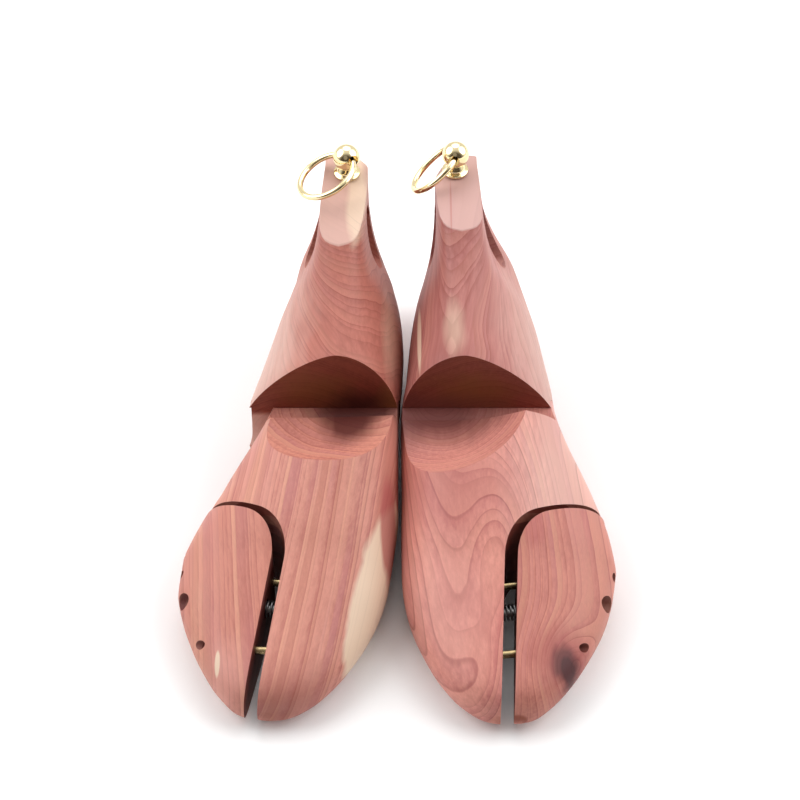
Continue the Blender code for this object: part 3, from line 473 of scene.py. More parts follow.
def forefoot_block(name, foot, plain, fore):
    def drawn(y):
        hollow = foot["outer_hollow"] * ramp(y, OUTER_WAIST_SHARES)
        return foot["inner_hollow"] * ramp(y, (0, INNER_WAIST_SHARE)), hollow, 0

    block = front_of_last(name, drawn, fore)
    far, middle = NECK_HEIGHT, (0, HINGE_HEIGHT)
    knuckle = arc(middle, KNUCKLE_RADIUS, -90, 90, KNUCKLE_STEPS)
    joint = [(-LAP, -OVERRUN), *knuckle, (0, far), (far, far), (far, -OVERRUN)]
    hollow = scoop_body(foot, plain)
    tip = far * heading(90 + SWING_CLEARED)
    fold = [middle, (far, HINGE_HEIGHT), (far, HINGE_HEIGHT + far), (tip[0], HINGE_HEIGHT + tip[1])]
    carve(hollow, [across("fold", fold, plain)], "UNION")
    points = 2 * KNUCKLE_STEPS
    bead = arc(middle, KNUCKLE_RADIUS, 0, 360 - 360 / points, points - 1)
    carve(hollow, [across("bead", bead, plain)])
    step = BOLT_SEAT - SPRING_POCKET
    profile = ((0, BOLT_RADIUS), (step, BOLT_RADIUS),
               (step, SPRING_POCKET_RADIUS), (BALL_WIDTH, SPRING_POCKET_RADIUS))
    bores = slide_bores(foot, fore, PIN_SEAT + CLEARANCE, profile)
    bores.append(drilled("hinge_pin", HINGE_PIN_RADIUS + CLEARANCE, HEEL_WIDTH * HINGE_BORE_SHARE,
                         (-OVERRUN, *middle), (1, 0, 0), plain))
    kerf = wing_side("kerf", 0, foot, fore)
    carve(block, [kerf, across("joint", joint, plain), hollow, together("bores", bores)])
    return block


# The wood: salmon heartwood with darker rings. The rings are tubes round a pith line, so each block
# shows the figure of the place in the log that it was sawn from. A noise is given by how fine it is
# across, along and across the fibres.
RING_BENDS = (((22, 7, 22), 1.0, 2.2), ((110, 22, 110), 2.0, 0.28))
RING_UNEVENNESS, RING_UNEVEN_SCALE = 2.0, 0.45
RING_SHIFTS = (0.5, 40.5, 80.5, 120.5)
LINE_RISE, LINE_FALL, FAINTEST_LINE = (0.80, 0.95), (0.96, 1.0), 0.15
FADES, FADE_RANGE, MOST_FADED = (30, 9, 30), (0.25, 0.6), 0.25
FIBRES, FIBRE_CONTRAST = (1500, 60, 1500), 0.26
STREAKS, STREAK_RANGE, STREAK_DARKENING = (520, 7, 520), (0.30, 0.70), 0.42
CLOUDS, CLOUD_RANGE, CLOUD_DARKENING = (26, 7, 26), (0.40, 0.60), 0.30
SUMMER_RANGE, SUMMER_DARKENING = (0.2, 0.95), 0.10
BODY_START, BODY_RANGE = 0.12, (0.34, 0.72)
TAN, TAN_RANGE, TAN_SHARE, LEAST_TAN = (0.72, 0.36, 0.245), (0.45, 0.95), 2.6, 0.4
COOL, COOL_RANGE, COOL_SHARE = (0.52, 0.20, 0.20), (0.5, 0.95), 2.0
RING_LINE = (0.26, 0.050, 0.040)
END_GRAIN_SHADE = (0.56, 0.36, 0.27)
PATCH_EDGES = (160, 35, 160)
WHITE = (1.0, 1.0, 1.0)
MIX_SHARE, MIX_FIRST, MIX_SECOND, MIX_RESULT = 0, 6, 7, 2


def is_link(value):
    return isinstance(value, bpy.types.NodeSocket)


def feed(entries, inputs):
    """Sets entries to values, or links them to other nodes' outputs."""
    for key, value in inputs.items():
        if is_link(value):
            value.id_data.links.new(value, entries[key])
        else:
            entries[key].default_value = value


def node(kind, inputs, **settings):
    """A node in the tree that its first link comes from."""
    made = next(filter(is_link, inputs.values())).id_data.nodes.new(kind)
    for key, value in settings.items():
        setattr(made, key, value)
    feed(made.inputs, inputs)
    return made


def maths(operation, *values):
    return node("ShaderNodeMath", dict(enumerate(values)), operation=operation).outputs[0]


def plus(total, *others):
    for other in others:
        total = maths("ADD", total, other)
    return total


def times(total, *others):
    for other in others:
        total = maths("MULTIPLY", total, other)
    return total


def centred(noise):
    """A noise with its middle at nought."""
    return maths("SUBTRACT", noise, 0.5)


def lifted(share, lowest):
    """A share that runs from nought to one, made to run from lowest to one."""
    return plus(times(share, 1 - lowest), lowest)


def vector_maths(operation, *values):
    made = node("ShaderNodeVectorMath", dict(enumerate(values)), operation=operation)
    return made.outputs["Value" if operation in ("LENGTH", "DOT_PRODUCT") else "Vector"]


def blended(share, first, second, mode="MIX"):
    """Two colours mixed by a share, each a link or three numbers."""
    first, second = (colour if is_link(colour) else (*colour, 1.0) for colour in (first, second))
    inputs = {MIX_SHARE: share, MIX_FIRST: first, MIX_SECOND: second}
    made = node("ShaderNodeMix", inputs, data_type="RGBA", blend_type=mode)
    return made.outputs[MIX_RESULT]


def smooth_between(value, low, high):
    """Nought below low and one above high, with a soft step between."""
    inputs = {0: value, 1: low, 2: high}
    return node("ShaderNodeMapRange", inputs, interpolation_type="SMOOTHSTEP").outputs[0]


def stretched_noise(vector, scale, detail=2.0, roughness=0.5):
    inputs = {"Vector": vector_maths("MULTIPLY", vector, scale), "Scale": 1.0,
              "Detail": detail, "Roughness": roughness}
    return node("ShaderNodeTexNoise", inputs).outputs["Fac"]


def new_group(name, inputs, outputs):
    """An empty node group with its entries and exits."""
    group = bpy.data.node_groups.new(name, "ShaderNodeTree")
    for way, sockets in (("INPUT", inputs), ("OUTPUT", outputs)):
        for kind, names in sockets.items():
            for entry in names:
                group.interface.new_socket(name=entry, in_out=way, socket_type="NodeSocket" + kind)
    come, go = (group.nodes.new(kind) for kind in ("NodeGroupInput", "NodeGroupOutput"))
    return group, come.outputs, go.inputs


def make_cedar_figure():
    """Growth rings, fibre and drifting heartwood colour. The vector's y runs along the pith."""
    tree, come, go = new_group("cedar figure", {
        "Vector": ["Vector"], "Color": ["Light Wood", "Dark Wood"],
        "Float": ["Swell", "Ring Width", "Wander", "Line Strength", "Ring Tone", "End Grain"],
    }, {"Color": ["Color"], "Float": ["Late Wood", "Fibre"]})

    def noise(scale, detail=2.0, roughness=0.5):
        return stretched_noise(come["Vector"], scale, detail, roughness)

    bends = [times(centred(noise(scale, detail)), share) for scale, detail, share in RING_BENDS]
    across_pith = vector_maths("MULTIPLY", come["Vector"], (1, 0, 1))
    radius = vector_maths("LENGTH", across_pith)
    radius = plus(radius, times(plus(*bends), come["Wander"]), come["Swell"])
    count = maths("DIVIDE", radius, come["Ring Width"])
    uneven = {"W": count, "Scale": RING_UNEVEN_SCALE, "Detail": 1.0}
    uneven = node("ShaderNodeTexNoise", uneven, noise_dimensions="1D").outputs["Fac"]
    count = plus(count, times(uneven, RING_UNEVENNESS))
    part, ring = maths("FRACT", count), maths("FLOOR", count)
    bold, tone, warm, cool = (
        node("ShaderNodeTexWhiteNoise", {"W": plus(ring, shift)},
             noise_dimensions="1D").outputs["Value"]
        for shift in RING_SHIFTS
    )
    late = maths("SUBTRACT", smooth_between(part, *LINE_RISE), smooth_between(part, *LINE_FALL))
    faded = smooth_between(noise(FADES), *FADE_RANGE)
    late = times(late, lifted(times(bold, bold), FAINTEST_LINE), lifted(faded, MOST_FADED))
    fibre, streak, cloud = noise(FIBRES, 3.0, 0.6), noise(STREAKS, 3.0, 0.6), noise(CLOUDS)
    dark = plus(
        times(centred(tone), come["Ring Tone"]),
        BODY_START,
        times(streak, STREAK_DARKENING),
        times(smooth_between(part, *SUMMER_RANGE), SUMMER_DARKENING),
        times(cloud, CLOUD_DARKENING),
    )
    dark = smooth_between(dark, *BODY_RANGE)
    color = blended(dark, come["Light Wood"], come["Dark Wood"])
    tan = lifted(smooth_between(streak, *STREAK_RANGE), LEAST_TAN)
    tan = times(smooth_between(warm, *TAN_RANGE), tan, TAN_SHARE, come["Ring Tone"])
    color = blended(tan, color, TAN)
    cool = times(smooth_between(cool, *COOL_RANGE),
                 smooth_between(cloud, *CLOUD_RANGE), COOL_SHARE, come["Ring Tone"])
    color = blended(cool, color, COOL)
    color = blended(times(late, come["Line Strength"]), color, RING_LINE)
    grain = plus(times(centred(fibre), FIBRE_CONTRAST), 1.0)
    shade = node("ShaderNodeCombineColor", {0: grain, 1: grain, 2: grain}).outputs[0]
    color = blended(1.0, color, shade, "MULTIPLY")
    shade = blended(come["End Grain"], WHITE, END_GRAIN_SHADE)
    color = blended(1.0, color, shade, "MULTIPLY")
    feed(go, {"Color": color, "Late Wood": late, "Fibre": fibre})
    return tree


def from_place(come):
    """How far the vector is from a place, counted in its reach."""
    off = vector_maths("SUBTRACT", come["Vector"], come["Place"])
    return vector_maths("DIVIDE", off, come["Reach"])


def make_cedar_swell():
    """How far a knot or a bulge in the log pushes the rings out at each place."""
    inputs = {"Vector": ["Vector", "Place", "Reach"], "Float": ["Push"]}
    tree, come, go = new_group("cedar swell", inputs, {"Float": ["Swell"]})
    off = from_place(come)
    swell = maths("EXPONENT", times(vector_maths("DOT_PRODUCT", off, off), -0.5))
    feed(go, {"Swell": times(swell, come["Push"])})
    return tree


def make_cedar_patch():
    """A soft-edged patch of other colour round a place: sapwood, stained wood, a knot, painted
    sheen or painted shade.
    """
    inputs = {"Vector": ["Vector", "Place", "Reach"], "Float": ["Ragged", "Softness"]}
    tree, come, go = new_group("cedar patch", inputs, {"Float": ["Mask"]})
    edge = centred(stretched_noise(come["Vector"], PATCH_EDGES))
    far = vector_maths("LENGTH", from_place(come))
    far = plus(far, times(edge, come["Ragged"]))
    share = maths("DIVIDE", maths("SUBTRACT", 1.0, far), come["Softness"])
    feed(go, {"Mask": node("ShaderNodeClamp", {0: plus(share, 0.5)}).outputs[0]})
    return tree


cedar_figure = make_cedar_figure()
cedar_swell = make_cedar_swell()
cedar_patch = make_cedar_patch()
END_GRAIN_RANGE = (0.93, 0.995)
FRESH_RANGE, FRESH_SHARE = (-0.0005, -0.0002), 0.80
PATCH_LINE_SHARE, PATCH_LINE_SHADE = 0.60, 0.66
CEDAR_ROUGHNESS, FIBRE_ROUGHNESS = 0.40, 0.20
LINE_HEIGHT, GRAIN_STRENGTH, GRAIN_DEPTH = 0.5, 0.35, 0.00006
CEDAR_SHINE = 0.28
CREAM = (0.80, 0.62, 0.46)
# Painted sheen and side light on the outer sides of the blocks.
PAINTED_SIDE_SHEEN = (0.78, 0.58, 0.50)
STREAK = (0.45, 0.12, 0.11)
# Dark brown: a faint darkening over the right scoop, and painted shadow in the left foot's throat
# and low on its heel's front face.
STAIN_AND_PAINTED_SHADOW = (0.16, 0.045, 0.040)
KNOT_HALO = (0.30, 0.055, 0.055)
OLIVE = (0.240, 0.090, 0.026)
# Deep red for the right foot's throat: a dark stain with the heel's painted shadow over it.
THROAT_STAIN_AND_SHADOW_RED = (0.075, 0.013, 0.010)
MAUVE = (0.46, 0.155, 0.145)
PINK = (0.74, 0.37, 0.32)
# Painted shade on the right foot's toe tip, where it curves down away from the light.
TOE_TIP_PAINTED_SHADE = (0.33, 0.10, 0.085)
KNOT_HEART = (0.060, 0.012, 0.014)


def new_material(name):
    material = bpy.data.materials.new(name)
    material.use_nodes = True
    return material, material.node_tree, material.node_tree.nodes["Principled BSDF"]


def mm(*lengths):
    return tuple(np.array(lengths) / 1000)


def at(*lengths):
    """A place given in millimetres from the hinge line, between the trees."""
    return tuple(mm(*lengths) + stand)


def make_cedar(name, pith, turn, ring, wander, lines, tone, light, dark, end_grain=1.0,
               swells=(), patches=(), flat=None, end_grain_patches=()):
    """Bare sanded cedar, its lengths in millimetres. pith is a point of the pith line, turn its
    turn in degrees. A swell is its place, reach and push. A patch is its place, reach, tint,
    strength, raggedness and softness; some patches are painted sheen or painted shade. An end grain
    patch is a patch where the fibres are cut across, some of stained wood and some of painted
    shadow.
    """
    material, tree, shader = new_material(name)
    coordinates = tree.nodes.new("ShaderNodeTexCoord").outputs
    place, normal = coordinates["Object"], coordinates["Normal"]
    facing = maths("ABSOLUTE", node("ShaderNodeSeparateXYZ", {0: normal}).outputs[1])
    across_fibres = times(smooth_between(facing, *END_GRAIN_RANGE), end_grain)
    in_log = {"Vector": vector_maths("SUBTRACT", place, at(*pith)),
              "Rotation": [math.radians(angle) for angle in turn]}
    pushes = []
    for centre, reach, push in swells:
        inputs = {"Vector": place, "Place": at(*centre), "Reach": mm(*reach), "Push": push / 1000}
        swell = node("ShaderNodeGroup", inputs, node_tree=cedar_swell)
        pushes.append(swell.outputs["Swell"])
    inputs = {
        "Vector": node("ShaderNodeMapping", in_log).outputs[0],
        "Swell": plus(*pushes) if pushes else 0.0,
        "Ring Width": ring / 1000, "Wander": wander / 1000, "Line Strength": lines,
        "Ring Tone": tone, "End Grain": across_fibres, "Light Wood": (*light, 1),
        "Dark Wood": (*dark, 1),
    }
    figure = node("ShaderNodeGroup", inputs, node_tree=cedar_figure)
    color, late, fibre = (figure.outputs[key] for key in ("Color", "Late Wood", "Fibre"))
    if flat is not None:
        point, up, fresh_wood = flat
        above = vector_maths("SUBTRACT", place, at(*point))
        above = vector_maths("DOT_PRODUCT", above, up)
        fresh = times(smooth_between(above, *FRESH_RANGE), FRESH_SHARE)
        color = blended(fresh, color, fresh_wood)
    on_skin = maths("SUBTRACT", 1.0, across_fibres)
    masked = [(on_skin, *patch) for patch in patches]
    masked += [(across_fibres, *end_grain_patch) for end_grain_patch in end_grain_patches]
    for where, centre, reach, tint, strength, ragged, softness in masked:
        inputs = {"Vector": place, "Place": at(*centre), "Reach": mm(*reach), "Ragged": ragged,
                  "Softness": softness}
        patch = node("ShaderNodeGroup", inputs, node_tree=cedar_patch)
        lined = [PATCH_LINE_SHADE * c for c in tint]
        tinted = blended(times(late, PATCH_LINE_SHARE), tint, lined)
        color = blended(times(patch.outputs["Mask"], strength, where), color, tinted)
    height = plus(fibre, times(late, LINE_HEIGHT))
    bump = {"Height": height, "Strength": GRAIN_STRENGTH, "Distance": GRAIN_DEPTH}
    feed(shader.inputs, {
        "Base Color": color, "Specular IOR Level": CEDAR_SHINE,
        "Roughness": plus(times(fibre, FIBRE_ROUGHNESS), CEDAR_ROUGHNESS),
        "Normal": node("ShaderNodeBump", bump).outputs[0],
    })
    return material


LEFT_PITH = (-14, -60, 20), (0, 0, -3)
LEFT_SWELLS = (
    ((46, -88, 38), (12.5, 40, 30), -33),
    ((33, -139, 22), (11, 15, 14), -11),
    ((70.6, -132.2, 19.3), (12.5, 13.5, 14), 34),
)
# Dark patches in each throat under the heel's overhang: on the left foot painted shadow, on the
# right foot a dark stain with the heel's painted shadow over it.
THROAT_SHADOW_AND_STAIN = {
    "left": (((14, -1, 43), (34, 19, 20), STAIN_AND_PAINTED_SHADOW, 0.92, 0.6, 1.0),),
    "right": (((-19, -1, 44), (20, 12, 14), THROAT_STAIN_AND_SHADOW_RED, 0.92, 0.5, 0.8),
              ((-23.5, -12, 45), (12, 17.5, 14), THROAT_STAIN_AND_SHADOW_RED, 0.92, 0.5, 0.8)),
}
# Inside the saw cuts and bores: sawn cedar with painted shade, far darker than the sanded wood.
shaded_sawn_cedar = make_cedar(
    "cedar saw cut in painted shade", (0, -60, -20), (0, 0, 0), 4, 6, 0.6, 0.1,
    (0.2, 0.045, 0.03), (0.11, 0.024, 0.018), 0,
)
milled_cedar = {
    "left": make_cedar(
        "cedar left scoop", (18, 2, 40), (90, 0, 0), 2, 3, 0.4, 0.1,
        (0.62, 0.255, 0.205), (0.42, 0.14, 0.115), 0.5,
        patches=THROAT_SHADOW_AND_STAIN["left"],
    ),
    "right": make_cedar(
        "cedar right scoop", (-14, 8, 40), (90, 0, 0), 2.6, 6, 0.5, 0.16,
        (0.6, 0.24, 0.175), (0.38, 0.12, 0.09), 0.5,
        patches=(((-30, -14, 46), (32, 28, 8), STAIN_AND_PAINTED_SHADOW, 0.18, 0.4, 0.6),
                 *THROAT_SHADOW_AND_STAIN["right"]),
    ),
}
forefoot_cedar = {
    "left": make_cedar(
        "cedar left forefoot", *LEFT_PITH, 3.6, 4.2, 0.65, 0.12,
        (0.73, 0.31, 0.25), (0.49, 0.16, 0.14), 0.5, LEFT_SWELLS,
        # paler outer side: painted sheen and side light
        patches=(((76, -52, 42), (24, 60, 50), PAINTED_SIDE_SHEEN, 0.4, 0.5, 1.0),
                 ((24, -57, 49), (24, 18, 14), MAUVE, 0.45, 0.5, 1.0),
                 ((21, -108, 31), (15, 34, 14), PINK, 0.35, 0.6, 1.0),
                 *THROAT_SHADOW_AND_STAIN["left"]),
    ),
    "right": make_cedar(
        "cedar right forefoot", (-190, -60, 60), (0, 0, 8), 1.9, 2.8, 0.45, 0.24,
        (0.64, 0.28, 0.216), (0.45, 0.152, 0.122), 0.5,
        patches=(((40, -140, 20), (64, 120, 100), CREAM, 0.95, 0.06, 0.03),
                 ((-5, -66, 36), (3.5, 22, 30), STREAK, 0.8, 0.3, 0.35),
                 # painted shade on the toe tip
                 ((-41, -151, 16), (36, 15, 20), TOE_TIP_PAINTED_SHADE, 0.45, 0.5, 1.0),
                 *THROAT_SHADOW_AND_STAIN["right"]),
    ),
}
for side_name, foot in FEET.items():
    plain, fore = placers(foot)
    block = forefoot_block(side_name + "_forefoot_wood", foot, plain, fore)
    sand(block, forefoot_cedar[side_name], shaded_sawn_cedar, milled_cedar[side_name])
    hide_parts(side_name + "_forefoot_block")
    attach(block, side_name + "_forefoot")

# Toe wings: the outer half of each toe, sawn off the same block along a curved cut and pushed out
# by a spring. Two guide pins and a bolt run in its bores. The bolt's head sits deep in its side.
SAW_WIDTH = 0.0012
WING_TRAVEL = 0.0045
WING_TRIM = 0.0038
TRIM_STATION_SHARES = (0.36, 0.51)
BOLT_HEAD_BORE_RADIUS = 0.0038
BOLT_HEAD_SEAT = 0.014


def toe_wing(name, foot, fore):
    def trimmed(y):
        hollow = foot["outer_hollow"] * ramp(y, OUTER_WAIST_SHARES)
        return 0, hollow + WING_TRIM * ramp(y, TRIM_STATION_SHARES), 0

    wing = front_of_last(name, trimmed, fore)
    carve(wing, [wing_side("kerf", SAW_WIDTH, foot, fore)], "INTERSECT")
    moved = fore(slide_axis(foot) * WING_TRAVEL) - fore((0, 0, 0))
    wing.data.transform(Matrix.Translation(moved))
    apart, bore = SAW_WIDTH + WING_TRAVEL, BOLT_RADIUS + CLEARANCE
    first, second = BOLT_SEAT + apart + SPRING_POCKET, BOLT_SEAT + apart + BOLT_HEAD_SEAT
    profile = ((0, SPRING_POCKET_RADIUS), (first, SPRING_POCKET_RADIUS), (first, bore),
               (second, bore), (second, BOLT_HEAD_BORE_RADIUS), (BALL_WIDTH, BOLT_HEAD_BORE_RADIUS))
    carve(wing, [together("bores", slide_bores(foot, fore, PIN_SEAT, profile))])
    return wing


wing_cedar = {
    "left": make_cedar(
        "cedar left wing", *LEFT_PITH, 3.8, 6.5, 0.5, 0.16,
        (0.58, 0.225, 0.172), (0.42, 0.136, 0.11), swells=LEFT_SWELLS,
        patches=(((58.6, -72.3, 42.6), (5, 9, 10), STREAK, 0.5, 0.8, 0.8),
                 ((69.0, -129.5, 19), (12.5, 13, 16), KNOT_HALO, 0.66, 0.8, 1.0),
                 ((70.2, -132.0, 19), (6.2, 8, 14), KNOT_HEART, 0.75, 0.9, 0.6),
                 ((70.8, -133.0, 19), (3.4, 4.6, 10), KNOT_HEART, 0.85, 0.9, 0.4)),
    ),
    "right": make_cedar(
        "cedar right wing", (-230, -90, 40), (0, 0, -6), 2.2, 3.5, 0.45, 0.22,
        (0.58, 0.23, 0.172), (0.42, 0.135, 0.103),
        patches=(((-73, -139, 18), (9, 16, 14), PINK, 0.4, 0.5, 1.0),
                 ((-76.8, -131.0, 20), (1.1, 5, 12), CREAM, 0.9, 0.2, 0.3)),
    ),
}
for side_name, foot in FEET.items():
    wing = toe_wing(side_name + "_toe_wood", foot, placers(foot)[1])
    sand(wing, wing_cedar[side_name], shaded_sawn_cedar)
    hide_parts(side_name + "_toe_wing")
    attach(wing, side_name + "_toe")

# Heel blocks: the rear half of each tree, with a groove that takes the knuckle, a neck to hold it
# by, a finger slot through the neck and a flat sawn across its top for the knob.
HEEL_FRONT_SHARE = 0.16
SLOT_LENGTH = 0.031
SLOT_WIDTH = 0.013
SLOT_LEAN = 65.0
SLOT_HEIGHT = 0.0755
SLOT_STATION_SHARE = 0.70
FACET_START_SHARE = 0.40
KNOB_STATION_SHARE = 0.862
KNOB_SIDE_SHARE = 0.360
PLATE_REACH = 0.034
CROSS_PIN_SHARES = (0.58, 0.86)
CROSS_PIN_RADIUS = 0.0020
SLOT_STEPS = 24
BOW_SHARES = ((0.0, 0.0), (0.2, 0.42), (0.41, 0.74), (0.55, 0.88), (0.66, 1.0), (0.8, 0.8),
              (1.0, 0.5))


def facet_height(y, foot):
    climb = math.tan(math.radians(foot["facet_lean"]))
    return foot["facet_height"] + (y - KNOB_STATION_SHARE * HEEL_LENGTH) * climb


def heel_block(name, foot, plain):
    def drawn(y):
        amount = foot["bow"] * float(np.interp(y / HEEL_LENGTH, *zip(*BOW_SHARES)))
        return -amount, amount, foot["ridge_shift"] * min(max(y / HEEL_LENGTH, 0), 1)

    heel = last_body(name, -HEEL_FRONT_SHARE * FOREFOOT_LENGTH, 2 * HEEL_LENGTH, drawn, plain)
    far = NECK_HEIGHT + OVERRUN
    groove = arc((0, HINGE_HEIGHT), KNUCKLE_RADIUS + CLEARANCE, -90, 90, KNUCKLE_STEPS)
    front = [(-LAP + 2 * CLEARANCE, -OVERRUN), *groove, (0, far), (-far, far), (-far, -OVERRUN)]
    centre = np.array([SLOT_STATION_SHARE * HEEL_LENGTH, SLOT_HEIGHT])
    along = heading(SLOT_LEAN) * (SLOT_LENGTH - SLOT_WIDTH) / 2
    slot = []
    for end, turn in ((centre + along, -90), (centre - along, 90)):
        first = SLOT_LEAN + turn
        slot += arc(end, SLOT_WIDTH / 2, first, first + 180, SLOT_STEPS)
    near, end, roof = FACET_START_SHARE * HEEL_LENGTH, 2 * HEEL_LENGTH, 2 * NECK_HEIGHT
    facet = [(y, facet_height(y, foot)) for y in (near, end)] + [(end, roof), (near, roof)]
    radius, bores = CROSS_PIN_RADIUS + CLEARANCE, []
    for share in CROSS_PIN_SHARES:
        start = (-HEEL_WIDTH / 2, share * PLATE_REACH, HINGE_HEIGHT)
        bores.append(drilled("pin", radius, HEEL_WIDTH, start, (1, 0, 0), plain))
    cuts = [across("cut", outline, plain) for outline in (front, slot, facet)]
    carve(heel, [*cuts, together("bores", bores)])
    return heel


heel_cedar = {
    "left": make_cedar(
        "cedar left heel", (44, 20, 4), (-8, 0, 8), 2.1, 6, 0.5, 0.06,
        (0.48, 0.192, 0.166), (0.32, 0.1, 0.085),
        patches=(((25, 14, 81), (4.5, 15, 8), CREAM, 0.36, 1.2, 1.0),
                 ((9, 28, 60), (0.9, 24, 30), CREAM, 0.8, 0.2, 0.4),
                 # paler outer side: painted sheen and side light
                 ((92, 40, 55), (36, 70, 70), PAINTED_SIDE_SHEEN, 0.58, 0.4, 0.9),
                 ((24.0, 80, 97), (0.4, 18, 10), STREAK, 0.45, 0.6, 0.6)),
        flat=((25.9, 81.5, 97.4), (0, -0.0995, 0.995), (0.6, 0.385, 0.35)),
        end_grain_patches=(((31, -13, 53), (17, 30, 12), OLIVE, 0.65, 1.0, 1.0),
                # painted shadow low on the heel's front face, at the throat
                ((16, -13, 44), (24, 30, 8), STAIN_AND_PAINTED_SHADOW, 0.6, 0.5, 1.0)),
    ),
    "right": make_cedar(
        "cedar right heel", (-60, 30, 10), (8, 0, -18), 1.9, 5, 0.75, 0.05,
        (0.47, 0.162, 0.122), (0.32, 0.098, 0.073),
        # paler outer side: painted sheen and side light
        patches=(((-94, 40, 55), (40, 70, 70), PAINTED_SIDE_SHEEN, 0.82, 0.4, 0.9),
                 ((-20.5, 86, 100), (4.8, 34, 12), CREAM, 0.7, 0.9, 0.5),
                 ((-5, 34, 48), (4, 26, 24), CREAM, 0.3, 0.6, 0.8)),
        flat=((-18, 87, 96.1), (0, -0.1392, 0.9903), (0.64, 0.415, 0.355)),
        end_grain_patches=(((-38, -13, 54), (16, 30, 10), OLIVE, 0.5, 1.0, 1.0),
                ((-3, -13, 46), (7, 30, 12), OLIVE, 0.7, 0.8, 1.0),
                # dark stain and painted shadow low on the heel's front face, at the throat
                ((-19, -13, 44), (12, 30, 10), THROAT_STAIN_AND_SHADOW_RED, 0.85, 0.6, 1.0)),
    ),
}
for side_name, foot in FEET.items():
    heel = heel_block(side_name + "_heel_wood", foot, placers(foot)[0])
    sand(heel, heel_cedar[side_name], shaded_sawn_cedar)
    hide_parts(side_name + "_heel_block")
    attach(heel, side_name + "_heel")

# Hinge plates, pins, bolts, washers and screws: bought hardware of dull zinc plated steel, only the
# guide pins are of brass. All of it is driven or screwed into its bores, so little shows but pin
# ends and what crosses the saw cut.
METAL_CLOUDS, METAL_CLOUD_RANGE = (220, 220, 220), (0.35, 0.7)
METAL_HAIRLINES, HAIRLINE_STRENGTH, HAIRLINE_DEPTH = (3000, 700, 3000), 0.1, 0.00002


def make_metal(name, colour, roughness, mottle, scratch):
    """A metal with a mottled colour and fine scratches."""
    material, tree, shader = new_material(name)
    place = tree.nodes.new("ShaderNodeTexCoord").outputs["Object"]
    cloud = stretched_noise(place, METAL_CLOUDS, 3.0)
    hair = stretched_noise(place, METAL_HAIRLINES)
    mottled = smooth_between(cloud, *METAL_CLOUD_RANGE)
    bump = {"Height": hair, "Strength": HAIRLINE_STRENGTH, "Distance": HAIRLINE_DEPTH}
    feed(shader.inputs, {
        "Metallic": 1.0,
        "Base Color": blended(mottled, colour, [mottle * c for c in colour]),
        "Roughness": plus(times(plus(cloud, hair), scratch), roughness),
        "Normal": node("ShaderNodeBump", bump).outputs[0],
    })
    return material


zinc_steel = make_metal("zinc plated steel", (0.56, 0.56, 0.55), 0.28, 0.75, 0.1)
brass_pin = make_metal("brass pin", (0.5, 0.38, 0.2), 0.16, 0.7, 0.08)
hardware = dict.fromkeys(("hinge_plate", "hinge_pin", "cross_pin_front", "cross_pin_rear",
                          "toe_bolt", "bolt_washer", "knob_screw"), zinc_steel)
hardware.update(guide_pin_front=brass_pin, guide_pin_rear=brass_pin)
for side_name in FEET:
    for part_name, metal in hardware.items():
        materials = frame["nodes"][f"{side_name}_{part_name}"].data.materials
        materials.clear()
        materials.append(metal)

# Toe springs: one steel wire wound round the toe bolt, pressing the wing away from the block. Both
# ends sit in round pockets bored in the wood.
SPRING_CURLS = 7
CURL_POINTS = 24
SPRING_ROUNDNESS = 3


def wire(name, points, radius, roundness, closed=False):
    """A round wire bent through the points."""
    curve = bpy.data.curves.new(name, "CURVE")
    curve.dimensions, curve.bevel_depth, curve.bevel_resolution = "3D", radius, roundness
    curve.use_fill_caps = not closed
    line = curve.splines.new("POLY")
    line.points.add(len(points) - 1)
    line.use_cyclic_u = closed
    for bent, point in zip(line.points, points):
        bent.co = (*point, 1)
    return curve


def toe_spring(name, foot, fore):
    """The spring, its seat in the block, the way that it is pressed and what is left of it then."""
    axis, at_kerf = slide_axis(foot), kerf_point(BOLT_STATION_SHARE, foot)
    inset = CLEARANCE + SPRING_WIRE
    start = at_kerf - axis * (SPRING_POCKET - inset)
    length = SAW_WIDTH + WING_TRAVEL + 2 * (SPRING_POCKET - inset)
    side = np.cross(axis, (0, 0, 1))
    other = np.cross(axis, side)
    count = SPRING_CURLS * CURL_POINTS
    points = []
    for i in range(count + 1):
        u, v = heading(360 * i / CURL_POINTS) * SPRING_RADIUS
        points.append(fore(start + axis * length * i / count + side * u + other * v))
    wound = put_in(name + "_line", wire(name, points, SPRING_WIRE, SPRING_ROUNDNESS))
    mesh = settled(wound)
    bpy.data.objects.remove(wound, do_unlink=True)
    mesh.shade_smooth()
    seat = np.array(fore(start))
    return put_in(name, mesh), seat, np.array(fore(start + axis)) - seat, 1 - WING_TRAVEL / length


spring_steel = make_metal("spring steel", (0.42, 0.42, 0.42), 0.30, 0.7, 0.10)
for side_name, foot in FEET.items():
    spring, seat, way, pressed = toe_spring(side_name + "_toe_spring_wire", foot, placers(foot)[1])
    spring.data.materials.append(spring_steel)
    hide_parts(side_name + "_toe_spring")
    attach(spring, side_name + "_forefoot")
    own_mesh(spring)
    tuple(way)
    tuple(seat)

# Knobs: a ball on a flared foot, turned from brass, polished and lacquered, and drilled across for
# the ring. A screw holds it on the neck's flat.
BRASS_BALL_RADIUS = 0.0064
RING_HOLE_RADIUS = 0.0027
FLANGE_RADIUS = 0.0062
FOOT_HEIGHT = 0.0052
FOOT_SHARES = ((0.0, 0.92), (0.1, 1.0), (0.25, 1.0), (0.34, 0.86), (0.42, 0.72), (0.56, 0.78),
               (1.0, 0.56))
FOOT_STEPS = 5
BALL_STEPS = 40
BALL_TOP_ANGLE = 179
KNOB_SIDES = 72
HOLE_SIDES = 48


